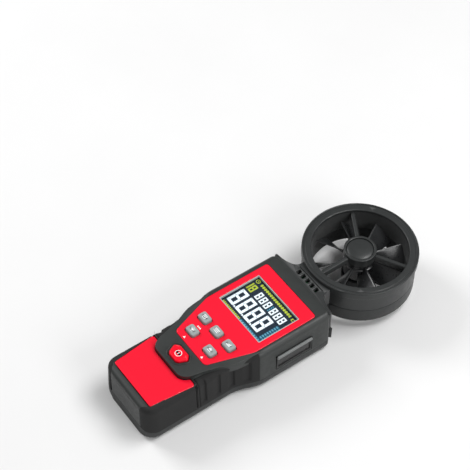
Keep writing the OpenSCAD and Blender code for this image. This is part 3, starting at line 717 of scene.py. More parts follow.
SHELL = Finish("shell_plastic", (42, 45, 44), roughness=0.42, depth=0.16, spread=0.05, gloss=0.35)
BACK = Finish("back_plastic", (36, 38, 38), roughness=0.5, depth=0.2, wear=0.15, gloss=0.35)
RUBBER = Finish("grip_rubber", (24, 25, 25), roughness=0.36, grain=0.5, depth=0.2, wear=0.2, gloss=0.45)
PANEL = Finish("panel_red", (248, 0, 38), roughness=0.4, depth=0.07, spread=0.04, wear=0.1, gloss=0.15)
RED_KEY = Finish("power_key_red", (240, 4, 38), roughness=0.42, depth=0.12, wear=0.2, gloss=0.2)
GREY_KEY = Finish("key_grey", (168, 176, 173), roughness=0.48, depth=0.12, wear=0.3, gloss=0.35)
WHITE_PRINT = Finish("white_print", (240, 242, 242), roughness=0.5, grain=0.2, wear=0.0)
HEAD = Finish("head_plastic", (43, 45, 45), roughness=0.38, depth=0.14, spread=0.05, gloss=0.4)
HEAD_BACK = Finish("head_back_plastic", (34, 36, 36), roughness=0.42, depth=0.16, wear=0.15, gloss=0.35)
CAP = Finish("hub_cap_plastic", (44, 46, 46), roughness=0.34, depth=0.08, gloss=0.4)
ROTOR = Finish("rotor_plastic", (40, 41, 42), roughness=0.3, grain=0.6, depth=0.05, wear=0.0, gloss=0.7)
PORT = Finish("port_cover_black", (8, 8, 9), roughness=0.3, depth=0.05, wear=0.1, gloss=0.25)
# Light grey finger lip: a painted highlight on the black port cover.
PORT_LIP_HIGHLIGHT = Finish("port_lip_painted_highlight", (104, 107, 107), roughness=0.34, depth=0.1, wear=0.35)
# Light grey of the display's edge ring and flange: a painted highlight along the window's bevel.
WINDOW_EDGE_HIGHLIGHT = Finish("display_edge", (176, 184, 184), roughness=0.3, depth=0.05)
GROUND = Finish("display_ground", (40, 50, 62), roughness=0.3, depth=0.02, wear=0.0, glow=0.15)
TEAL_GROUND = Finish("display_teal_ground", (36, 92, 112), roughness=0.3, depth=0.02, wear=0.0, glow=0.3)
DIGIT = Finish("display_white", (246, 249, 250), roughness=0.4, depth=0.02, wear=0.0, glow=0.5)
GREEN_MARK = Finish("display_green", (196, 204, 62), roughness=0.4, depth=0.02, wear=0.0, glow=0.35)
TEAL_MARK = Finish("display_teal", (110, 172, 192), roughness=0.4, depth=0.02, wear=0.0, glow=0.3)
LIGHT_GUIDE = Finish("light_guide", (226, 230, 232), roughness=0.35, depth=0.05)
STRIP = Finish("contact_strip", (206, 130, 150), roughness=0.6, mottle=1.2, spread=0.25)
BOARD = Finish("board_green", (24, 92, 52), roughness=0.38, mottle=3.0, spread=0.2, coat=0.3)
MAT = Finish("keypad_rubber", (92, 94, 98), roughness=0.7, grain=0.5, depth=0.2)
BLACK_PART = Finish("black_part", (20, 20, 21), roughness=0.42, depth=0.1)
BRASS = Finish("brass", (196, 160, 92), roughness=0.28, grain=0.15, depth=0.08, metal=1.0, wear=0.0)
STEEL = Finish("bright_steel", (196, 198, 202), roughness=0.26, grain=0.12, depth=0.1, metal=1.0, wear=0.0)
SCREW = Finish("screw_steel", (120, 122, 126), roughness=0.34, grain=0.15, depth=0.12, metal=1.0, wear=0.0)
MAGNET = Finish("magnet_steel", (150, 152, 156), roughness=0.22, grain=0.2, depth=0.05, metal=1.0, wear=0.0)
LEAD = Finish("lead_red", (160, 24, 26), roughness=0.44, depth=0.08)
CELL = Finish("cell_green", (34, 110, 84), roughness=0.3, depth=0.04, spread=0.12, coat=0.3)
WINDOW = ClearFinish("clear_window", (243, 246, 248))
FLOOR = Finish(
    "pale_floor", (232, 232, 232), roughness=0.7, grain=2.0, depth=0.02, mottle=90.0, spread=0.01, wear=0.0)


# ---- pieces ----


class Workshop:
    """Turns meshes into dressed pieces that ride on the meter's bodies."""

    def __init__(self) -> None:
        """Builds the two repeating trees."""
        self.repeat = RepeatTree()
        self.along = PathTree()

    def piece(
        self,
        name: str,
        bm: Mesh,
        finish: Finish | ClearFinish,
        slot: str,
        body: str = "meter",
        stands_for: Sequence[str] = (),
        crease: float = 35.0,
    ) -> bpy.types.Object:
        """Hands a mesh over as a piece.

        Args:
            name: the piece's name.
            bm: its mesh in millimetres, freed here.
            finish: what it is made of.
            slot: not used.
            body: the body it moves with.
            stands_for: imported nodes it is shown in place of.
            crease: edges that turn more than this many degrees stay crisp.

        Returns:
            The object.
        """
        bm.transform(Matrix.Scale(MM, 4))
        data = bpy.data.meshes.new(name)
        bm.to_mesh(data)
        bm.free()
        data.materials.clear()
        data.materials.append(finish.build())
        data.polygons.foreach_set("material_index", [0] * len(data.polygons))
        data.polygons.foreach_set("use_smooth", [True] * len(data.polygons))
        data.set_sharp_from_angle(angle=math.radians(crease))
        obj = bpy.data.objects.new(name, data)
        bpy.context.scene.collection.objects.link(obj)
        even = obj.modifiers.new("even_shading", "WEIGHTED_NORMAL")
        even.keep_sharp = True
        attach(obj, body)
        if stands_for:
            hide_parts(*stands_for)
        log.info("%s: %d faces on %s", name, len(data.polygons), body)
        return obj

    def dress(self, node: str, finish: Finish | ClearFinish) -> None:
        """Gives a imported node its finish."""
        data = frame["nodes"][node].data
        for k in range(max(1, len(data.materials))):
            if k < len(data.materials):
                data.materials[k] = finish.build()
            else:
                data.materials.append(finish.build())
        log.info("%s: kept as packed, in %s", node, finish.name)


@dataclass
class BodyForm:
    """The rule for the outer form of the two shells, measured from the bottom end."""

    length: float = 127.3
    handle_length: float = 76.0
    handle_width: float = 48.5
    case_width: float = 59.0
    low_face: float = 29.0
    face_step: float = 3.0
    part_height: float = 8.0
    end_radius: float = 8.0
    shoulder_radius: float = 2.5
    edge_radius: float = 3.5
    side_lean: float = 1.0

    def draw_in(self, distance: float, radius: float) -> float:
        """How far a corner of a radius draws in at a distance from the end."""
        if distance >= radius:
            return 0.0
        return radius - math.sqrt(max(0.0, radius**2 - (radius - distance) ** 2))

    def half_width(self, y: float) -> float:
        """Half the width at y."""
        flare = ramp(y, self.handle_length - 18, self.handle_length + 3)
        half = self.handle_width / 2 + (self.case_width - self.handle_width) / 2 * flare
        return half - self.draw_in(y, self.end_radius) - self.draw_in(self.length - y, self.shoulder_radius)

    def top(self, y: float) -> float:
        """Height of the face at y."""
        rise = ramp(y, self.handle_length - 40, self.handle_length + 2)
        return self.low_face + self.face_step * rise - self.draw_in(y, self.edge_radius) * 0.8

    def side_path(self, y: float, start: float, count: int, depth: float = 0.0) -> list[Point2]:
        """Points over the right edge, from the face down to where the shells meet.

        Args:
            y: where along the body.
            start: how far from the middle line the path begins.
            count: how many points.
            depth: how far below the surface the path runs.

        Returns:
            (x, z) points, evenly spaced.
        """
        w, top = self.half_width(y) - depth, self.top(y) - depth
        corner = (w - self.side_lean - self.edge_radius, top - self.edge_radius)
        path = [Vector((min(start, corner[0]), top))]
        path += [Vector(p) for p in arc(corner, self.edge_radius, 90, 0, 12)]
        path.append(Vector((w, self.part_height)))
        clipped: list[Vector] = []
        for a, b in zip(path, path[1:]):
            if b.x <= start and not clipped:
                continue
            if not clipped:
                t = 0.0 if b.x - a.x < 1e-6 else max(0.0, (start - a.x) / (b.x - a.x))
                clipped.append(a.lerp(b, min(1.0, t)))
            clipped.append(b)
        if len(clipped) < 2:
            clipped = [Vector((start, top - self.edge_radius)), path[-1]]
        steps = [(b - a).length for a, b in zip(clipped, clipped[1:])]
        whole, result, along, k = sum(steps), [], 0.0, 0
        for i in range(count):
            want = whole * i / (count - 1)
            while k < len(steps) - 1 and along + steps[k] < want:
                along += steps[k]
                k += 1
            q = clipped[k].lerp(clipped[k + 1], min(1.0, (want - along) / max(steps[k], 1e-9)))
            result.append((q.x, q.y))
        return result


@dataclass
class Collar:
    """The raised collar round the power key."""

    form: BodyForm
    foot_y: float = 29.0
    foot_width: float = 27.0

    def edge(self, gap: float = 0.0) -> Loop2:
        """Right half of its edge, moved out by gap."""
        x, y, form = self.foot_width / 2 + gap, self.foot_y, self.form
        return curve_through(
            [(x - 5, y - gap), (x - 1.6, y + 0.4 - gap), (x + 1.4, y + 2.8 - gap / 2), (x + 3.2, y + 7),
             (x + 4.6, y + 13.5), (x + 7.4, y + 23), (x + 10.8, y + 32),
             (form.case_width / 2 - form.edge_radius + gap, form.handle_length + 1)], 5)

    def edge_x(self, y: float) -> float:
        """How far from the middle line its edge runs at y."""
        points = self.edge()
        if y <= points[0][1]:
            return 0.0
        for a, b in zip(points, points[1:]):
            if a[1] <= y <= b[1] and b[1] > a[1]:
                return a[0] + (b[0] - a[0]) * (y - a[1]) / (b[1] - a[1])
        return points[-1][0]


@dataclass
class Shells:
    """Front shell, rear shell and battery cover."""

    shop: Workshop
    form: BodyForm
    edge: float = 0.3

    def build(self) -> None:
        """Builds and dresses the shells."""
        self.shop.piece("front_case", packed_copy("front_shell", self.edge), SHELL, "shell_grey",
                        stands_for=["front_shell"])
        self.shop.piece("rear_case", packed_copy("rear_shell", self.edge), BACK, "back_grey",
                        stands_for=["rear_shell"])
        self.shop.piece("cell_door", packed_copy("battery_cover", 0.2), BACK, "back_grey",
                        body="battery_lid", stands_for=["battery_cover"])


@dataclass
class Grips:
    """The two ribbed rubber side grips."""

    shop: Workshop
    form: BodyForm
    collar: Collar
    foot_y: float
    thickness: float = 1.8
    panel_half_low: float = 19.0
    panel_half_high: float = 21.5
    tip_y: float = 34.2
    end_y: float = 75.1
    rib_pitch: float = 9.8
    rib_from: float = 40.9
    rib_depth: float = 0.95
    columns: int = 44

    def inner_x(self, y: float) -> float:
        """How far from the middle line the rubber begins at y."""
        if y <= 0:
            return self.panel_half_low - 4.2
        if y < 5:
            return self.panel_half_low - 4.2 + 4.2 * y / 5
        if y < self.tip_y + 0.6:
            spread = self.panel_half_high - self.panel_half_low
            return self.panel_half_low + spread * (y - 5) / (self.tip_y - 5)
        side = self.form.half_width(y) - self.form.side_lean - 0.9
        return min(max(17.5, self.collar.edge_x(y)), side)

    def relief(self, y: float, share: float) -> float:
        """How deep the ribbing is cut at y, at a share of the way down the side."""
        fade = smooth((share - 0.08) / 0.1) * smooth((0.93 - share) / 0.08)
        slit = math.exp(-(((y - 34.0) / 0.45) ** 2)) + math.exp(-(((y - 35.9) / 0.35) ** 2)) * 0.7
        phase = (y - self.rib_from) / self.rib_pitch
        index = math.floor(phase) + 1
        part = phase - math.floor(phase)
        rib = 0.0
        if 0 <= index <= 3:
            rib = smooth((part - 0.42) / 0.5) * (1 if part < 0.95 else (1 - part) / 0.05)
        return self.rib_depth * (slit * smooth((0.99 - share) / 0.03) + rib * fade)

    def side(self, sign: int) -> Mesh:
        """One grip; sign is 1 on the right and -1 on the left."""
        ys = [self.form.end_radius * (1 - math.cos(math.radians(a))) for a in range(0, 90, 9)]
        y = self.form.end_radius
        while y < self.end_y:
            ys.append(y)
            y += 0.4
        ys.append(self.end_y)
        rings = []
        for y in ys:
            start = self.inner_x(y)
            outer = self.form.side_path(y, start, self.columns)
            under = max(y, self.thickness)
            inner = self.form.side_path(under, start, self.columns // 2, self.thickness)
            ring = []
            for k, (x, z) in enumerate(outer):
                a, b = outer[max(k - 1, 0)], outer[min(k + 1, len(outer) - 1)]
                along = Vector((b[0] - a[0], b[1] - a[1])).normalized()
                cut = self.relief(y, k / (self.columns - 1))
                ring.append((sign * (x + along.y * cut), self.foot_y + y, z - along.x * cut))
            ring += [(sign * x, self.foot_y + under, z) for x, z in reversed(inner)]
            rings.append(ring)
        return skin(rings)

    def build(self) -> None:
        """Builds and dresses both grips."""
        for name, sign in (("grip_right", 1), ("grip_left", -1)):
            bm = self.side(sign)
            self.shop.piece(name + "_rubber", bm, RUBBER, "grip_rubber", stands_for=[name], crease=50)


@dataclass
class Panels:
    """The two red panels."""

    shop: Workshop
    form: BodyForm
    collar: Collar
    foot_y: float
    display_size: Point2 = (40.0, 29.6)
    key_hole: Point2 = (8.4, 6.4)
    key_radius: float = 1.4
    thickness: float = 1.6

    def upper_outline(self) -> Loop2:
        """Outline of the upper panel."""
        low, high = low_corner("upper_panel"), high_corner("upper_panel")
        foot, top, half = low.y, high.y, high.x
        foot_half = 15.8
        bend = self.foot_y + 75.2
        right = arc((foot_half - 3, foot + 3), 3, -90, -8, 6)
        right += [(half - 0.45, bend - 2.4), (half - 0.1, bend - 0.6), (half, bend + 1.2)]
        right += arc((half - 2, top - 2), 2, 0, 90, 6)
        return both_sides(right)

    def lower_outline(self) -> Loop2:
        """Outline of the lower panel, whose top follows the collar."""
        low = low_corner("lower_panel")
        half, tip = 18.8, high_corner("lower_panel")
        collar = [(x, self.foot_y + y) for x, y in self.collar.edge(0.2)]
        under = [p for p in collar if p[1] < tip.y - 0.05]
        right = [(half - 1.4, low.y), (half - 0.4, low.y + 0.3), (half, low.y + 1.4),
                 (tip.x, tip.y - 1.4), (tip.x - 0.4, tip.y - 0.35), (tip.x - 1.4, tip.y)]
        x_end = under[-1][0] + (tip.y - under[-1][1]) * 0.4
        return both_sides(right + [(x_end, tip.y - 0.02)] + under[::-1])

    def build(self, key_nodes: Sequence[str]) -> None:
        """Builds and dresses both panels.

        Args:
            key_nodes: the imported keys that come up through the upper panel.
        """
        top, low_top = high_corner("upper_panel").z, high_corner("lower_panel").z
        display = middle("display_window")
        holes = [rectangle(self.display_size, 0.5, (display.x, display.y))]
        holes += [rectangle(self.key_hole, self.key_radius, (middle(n).x, middle(n).y)) for n in key_nodes]
        upper = plate(self.upper_outline(), top - self.thickness, top, holes, edge=0.3)
        self.shop.piece("face_panel", upper, PANEL, "panel_red", stands_for=["upper_panel"])
        lower = plate(self.lower_outline(), low_top - self.thickness, low_top, edge=0.35)
        self.shop.piece("handle_panel", lower, PANEL, "panel_red", stands_for=["lower_panel"])


class KeyMark(Enum):
    """What is printed on a key."""

    SQUARE = "square"
    BARS = "bars"
    SUN = "sun"
    ARROW = "arrow"
    STEPS = "steps"


@dataclass
class Keys:
    """The five grey keys, the power key and their printed marks."""

    shop: Workshop
    size: Point2 = (7.8, 5.8)
    power_size: Point2 = (13.6, 8.8)
    ink: float = 0.05
    sunk: float = 0.03
    skirt_out: float = 0.7
    skirt_top: float = 1.6

    def mark(self, kind: KeyMark) -> list[Mesh]:
        """The printed mark of a key, about the key's middle, as thin plates."""
        def bar(size: Point2, centre: Point2) -> Mesh:
            """A small printed bar."""
            return printed(rectangle(size, min(size) * 0.3, centre, 2), self.ink)

        if kind is KeyMark.SQUARE:
            outer, hole = rectangle((2.6, 2.6), 0.4), rectangle((1.8, 1.8), 0.2)
            return [printed(outer, self.ink, hole), bar((0.5, 1.1), (0, 0))]
        if kind is KeyMark.BARS:
            return [bar((3.8, 0.5), (0, y)) for y in (-0.9, 0.0, 0.9)]
        if kind is KeyMark.SUN:
            core = printed(arc((0, 0), 0.75, 0, 330, 11), self.ink)
            ray = bar((0.7, 0.3), (1.35, 0))
            return [core, self.shop.repeat.make(ray, 8, WHITE_PRINT.build(), turn=45)]
        if kind is KeyMark.ARROW:
            head = printed([(-1.5, -0.1), (1.5, -0.1), (0, 1.4)], self.ink)
            return [head, bar((3.0, 0.5), (0, -0.9))]
        return [bar((0.6, 0.7 + 0.55 * k), (-1.2 + 0.8 * k, -0.9 + 0.275 * k)) for k in range(4)]

    def set_key(self, node: str, parts: Sequence[Mesh], finish: Finish, slot: str) -> None:
        """Sets a key in place, from its parts about its middle line."""
        at, body = middle(node), node + "_body"
        whole = moved(joined(parts), (at.x, at.y, 0))
        self.shop.piece(node + "_cap", whole, finish, slot, body=body, stands_for=[node])

    def set_mark(self, node: str, parts: Sequence[Mesh], slot: str) -> None:
        """Sets a key's mark on its top, from parts about the mark's middle."""
        at, top = middle(node), high_corner(node).z - self.sunk
        ink = moved(joined(parts), (at.x, at.y, top))
        self.shop.piece(node + "_mark", ink, WHITE_PRINT, slot, body=node + "_body")

    def key(self, node: str, kind: KeyMark) -> None:
        """Builds one grey key.

        Args:
            node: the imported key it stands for.
            kind: its mark.
        """
        low, high = low_corner(node), high_corner(node)
        cap = plate(rectangle(self.size, 1.4), low.z + 1.4, high.z, edge=0.9, dome=0.12, steps=5)
        skirt_size = (self.size[0] + 2 * self.skirt_out, self.size[1] + 2 * self.skirt_out)
        skirt = plate(rectangle(skirt_size, 1.4), low.z, low.z + self.skirt_top, edge=0.2)
        self.set_key(node, [cap, skirt], GREY_KEY, "key_grey")
        self.set_mark(node, self.mark(kind), "key_grey")

    def power_outline(self) -> Loop2:
        """Outline of the six-sided power key."""
        w, h, cut = self.power_size[0] / 2, self.power_size[1] / 2, 2.6
        foot = w * 0.62
        shoulder = [(w, h - cut - 0.6), (w - 0.3, h - cut + 0.6), (w - cut, h)]
        right = [(foot - 1, -h), (foot + 0.6, -h + 1.2), *shoulder]
        return rounded(both_sides(right), 1.3)

    def power(self) -> None:
        """Builds the power key, its mark and the lip round it."""
        node = "power_key"
        low, high, at = low_corner(node), high_corner(node), middle(node)
        cap = plate(self.power_outline(), low.z + 1.4, high.z, edge=1.0, dome=0.15, steps=5)
        outline = inset(self.power_outline(), -self.skirt_out)
        skirt = plate(outline, low.z, low.z + self.skirt_top, edge=0.2)
        self.set_key(node, [cap, skirt], RED_KEY, "key_red")
        shelf = high_corner("front_shell").z
        around = [inset(self.power_outline(), -gap) for gap in (1.7, 0.85)]
        lip = plate(around[0], shelf - 1.0, shelf + 0.3, around[1:], edge=0.3)
        self.shop.piece("power_key_lip", moved(lip, (at.x, at.y - 0.1, 0)), SHELL, "shell_grey")
        dial = printed(arc((0, 0), 2.2, 0, 350, 35), self.ink, arc((0, 0), 1.8, 0, 345, 23))
        bar = printed(rectangle((0.42, 1.7), 0.15), self.ink)
        self.set_mark(node, [dial, bar], "key_red")

    def triangles(self) -> None:
        """Prints the triangles below the two lower keys and the small signs above the left one."""
        top = high_corner("upper_panel").z
        marks = []
        for node in ("key_low_left", "key_low_right"):
            at = middle(node)
            tip = printed([(-0.9, -0.6), (0.9, -0.6), (0, 0.9)], self.ink)
            marks.append(moved(tip, (at.x + 0.6, at.y - 6.1, top - 0.02)))
        at = middle("key_low_left")
        for k in range(3):
            dot = printed(rectangle((0.75, 0.95), 0.2, steps=2), self.ink)
            marks.append(moved(dot, (at.x - 1.1 + 1.1 * k, at.y + 4.7, top - 0.02)))
        self.shop.piece("panel_triangles", joined(marks), WHITE_PRINT, "panel_red")

    def build(self) -> None:
        """Builds and dresses every key."""
        kinds = {
            "key_left": KeyMark.SQUARE,
            "key_middle": KeyMark.BARS,
            "key_right": KeyMark.STEPS,
            "key_low_left": KeyMark.SUN,
            "key_low_right": KeyMark.ARROW,
        }
        for node, kind in kinds.items():
            self.key(node, kind)
        self.power()
        self.triangles()


@dataclass
class Display:
    """The display: dark ground, lit digits and marks, and the clear window."""

    shop: Workshop
    size: Point2 = (40.0, 29.6)
    ink: float = 0.06

    def digit(self, width: float, height: float, stroke: float) -> Mesh:
        """A seven-bar figure of eight with square corners, its lower left corner at the origin."""
        half, gap, inner = stroke / 2, stroke * 0.06, stroke
        middle_y = height / 2
        foot = [(gap, 0), (width - gap, 0), (width - inner - gap, inner), (inner + gap, inner)]
        upright = [(0, gap), (inner, inner + gap), (inner, middle_y - half - gap), (half, middle_y - gap),
                   (0, middle_y - gap)]
        left = [(inner + gap, middle_y + half), (half + gap, middle_y), (inner + gap, middle_y - half)]
        bridge = left + [(width - x, y) for x, y in reversed(left)]
        bars = [bridge, foot, [(x, height - y) for x, y in reversed(foot)]]
        for side in (upright, [(width - x, y) for x, y in reversed(upright)]):
            bars += [side, [(x, height - y) for x, y in reversed(side)]]
        return joined([printed(bar, self.ink) for bar in bars])

    def bar(self, x: float, y: float, w: float, h: float, holes: Sequence[Loop2] = ()) -> Mesh:
        """A printed bar w by h, its lower left corner at x, y from the display's corner."""
        outline = rectangle((w, h), min(w, h) * 0.2, (x + w / 2, y + h / 2), 2)
        return printed(outline, self.ink, *holes)

    def row(self, item: Mesh, count: int, start: Point2, step: Point2, finish: Finish) -> Mesh:
        """A row of one printed item, laid by the repeat tree."""
        return self.shop.repeat.make(item, count, finish.build(), (*start, 0.0), (*step, 0.0))

    def digits(self) -> Mesh:
        """The four large and six small white figures, with the dots between the large ones."""
        start, pitch = 1.7, 8.05
        parts = [
            self.row(self.digit(6.2, 12.7, 1.75), 4, (start, 4.3), (pitch, 0), DIGIT),
            self.row(self.bar(0, 0, 1.1, 1.1), 3, (start + 6.6, 4.3), (pitch, 0), DIGIT),
        ]
        for x in (9.9, 24.0):
            parts.append(self.row(self.digit(3.1, 5.8, 0.95), 3, (x, 18.5), (4.2, 0), DIGIT))
        return joined(parts)

    def green_marks(self) -> Mesh:
        """The clock, the top line of signs, the battery, the unit sign and the lower label."""
        clock = printed(arc((2.4, 27.4), 1.5, 0, 345, 23), self.ink, arc((2.4, 27.4), 1.0, 0, 340, 17))
        hands = [self.bar(2.2, 27.2, 0.4, 1.0), self.bar(2.2, 27.2, 0.8, 0.4)]
        slot = rectangle((1.6, 1.1), 0.2, (37.7, 26.9), 2)
        battery = [self.bar(36.1, 26.0, 3.2, 1.9, [slot]), self.bar(39.2, 26.6, 0.4, 0.7)]
        unit = [self.bar(1.5, 18.6, 1.1, 6.0), moved(self.digit(3.2, 6.0, 1.0), (3.2, 18.6, 0))]
        signs = [
            self.row(self.bar(0, 0, 1.2, 1.9), 16, (5.6, 26.4), (1.85, 0), GREEN_MARK),
            self.row(self.bar(0, 0, 0.45, 0.7), 15, (6.9, 27.0), (1.85, 0), GREEN_MARK),
            self.row(self.bar(0, 0, 0.8, 2.0), 13, (1.5, 0.7), (1.32, 0), GREEN_MARK),
            self.row(self.bar(0, 0, 0.3, 0.5), 12, (2.4, 1.5), (1.32, 0), GREEN_MARK),
        ]
        return joined([clock, *hands, *battery, *unit, *signs])

    def teal_patches(self) -> Mesh:
        """The teal fields behind the lower and right-hand signs."""
        fields = [(18.7, 0.5, 20.9, 2.5), (35.2, 3.2, 4.4, 14.2), (22.3, 18.6, 1.2, 5.4)]
        return joined([self.bar(*field) for field in fields])

    def teal_marks(self) -> Mesh:
        """The small signs on the teal fields."""
        rows = [
            self.row(self.bar(0, 0, 1.3, 1.3), 11, (19.1, 1.1), (1.88, 0), TEAL_MARK),
            self.row(self.bar(0, 0, 1.5, 0.9), 8, (35.5, 3.8), (0, 1.72), TEAL_MARK),
            self.row(self.bar(0, 0, 1.3, 0.9), 8, (37.7, 3.8), (0, 1.72), TEAL_MARK),
            self.row(self.bar(0, 0, 0.6, 0.6), 4, (22.6, 19.0), (0, 1.35), TEAL_MARK),
        ]
        return joined(rows)

    def glass(self, at: Vector) -> None:
        """Builds the dark glass with its marks; at is the middle of the display."""
        shop, low, high = self.shop, low_corner("lcd_panel"), high_corner("lcd_panel")
        outline = rectangle((high.x - low.x, high.y - low.y), 0.5, (at.x, at.y), 3)
        ground = plate(outline, low.z, high.z, edge=0.1)
        shop.piece("display_ground", ground, GROUND, "lcd_black", stands_for=["lcd_panel"])
        corner = (at.x - self.size[0] / 2, at.y - self.size[1] / 2)
        layers = {
            "display_teal_fields": (self.teal_patches(), TEAL_GROUND, 0.0),
            "display_digits": (self.digits(), DIGIT, 0.0),
            "display_green_marks": (self.green_marks(), GREEN_MARK, 0.0),
            "display_teal_marks": (self.teal_marks(), TEAL_MARK, self.ink),
        }
        for name, (bm, finish, lift) in layers.items():
            shop.piece(name, moved(bm, (*corner, high.z + lift)), finish, "lcd_black")

    def window(self, at: Vector) -> None:
        """Builds the clear window, its flange and a light grey ring round it, a painted highlight standing
        for the lit bevel of the recess; at is its middle.
        """
        shop, low, high = self.shop, low_corner("display_window"), high_corner("display_window")
        centre, step = (at.x, at.y), low_corner("upper_panel").z

        def frame(trim: float, radius: float) -> Loop2:
            """The display's outline, trimmed."""
            return rectangle((self.size[0] - trim, self.size[1] - trim), radius, centre, 3)

        face = frame(0.4, 0.5)
        shop.piece("window_face", plate(face, low.z, high.z, edge=0.15), WINDOW, "clear_window",
                   stands_for=["display_window"])
        # Flange and edge ring in light grey: a painted highlight round the window.
        flange = rectangle((high.x - low.x, high.y - low.y), 1, centre, 3)
        rim = plate(flange, low.z, step, [inset(face, -0.05)], edge=0.05)
        shop.piece("window_flange", rim, WINDOW_EDGE_HIGHLIGHT, "clear_window")
        line = plate(frame(0.1, 0.5), step, high.z + 0.12, [frame(1.1, 0.4)], edge=0.12)
        shop.piece("display_edge", line, WINDOW_EDGE_HIGHLIGHT, "clear_window")

    def build(self) -> None:
        """Builds and dresses the display."""
        at = middle("display_window")
        self.glass(at)
        self.window(at)


@dataclass
class PortCover:
    """The hinged cover of the data port, with its finger lip, whose light grey is a painted highlight on the
    black cover.
    """

    shop: Workshop

    def build(self) -> None:
        """Builds and dresses the cover."""
        low, high = low_corner("port_cover"), high_corner("port_cover")
        face = high.x - 1.1
        middle_y, middle_z = (low.y + high.y) / 2, (low.z + high.z) / 2
        size = (high.y - low.y, high.z - low.z)
        turn = Matrix(((0, 0, 1, 0), (1, 0, 0, middle_y), (0, 1, 0, middle_z), (0, 0, 0, 1)))
        hollow = rectangle((size[0] - 2.4, size[1] - 4.6), 0.8, (0, -0.7))
        rim = plate(rectangle(size, 0.7), face - 0.6, face, [hollow], edge=0.25)
        back = plate(rectangle(size, 0.7), low.x, face - 0.5, edge=0.0)
        self.shop.piece("port_door", moved(joined([rim, back]), turn), PORT, "port_black", body="port_flap",
                        stands_for=["port_cover"])
        # The lip is light grey: a painted highlight along the black cover's top edge.
        lip_outline = rectangle((size[0], 2.0), 0.95, (0, size[1] / 2 - 1.0), 6)
        lip = plate(lip_outline, low.x + 0.2, high.x, edge=0.8, steps=5)
        self.shop.piece("port_lip", moved(lip, turn), PORT_LIP_HIGHLIGHT, "port_black", body="port_flap")
        ink, marks = (face - 0.62, face - 0.55), []
        for x, w in ((-6.0, 2.2), (-3.0, 0.6), (2.2, 5.2)):
            marks.append(plate(rectangle((w, 0.5), 0.2, (x, -0.8), 2), *ink, edge=0))
        spot = (-0.2, 0.4)
        marks.append(plate(arc(spot, 0.8, 0, 345, 15), *ink, [arc(spot, 0.5, 0, 340, 11)], edge=0))
        self.shop.piece("port_mark", moved(joined(marks), turn), WHITE_PRINT, "port_black", body="port_flap")


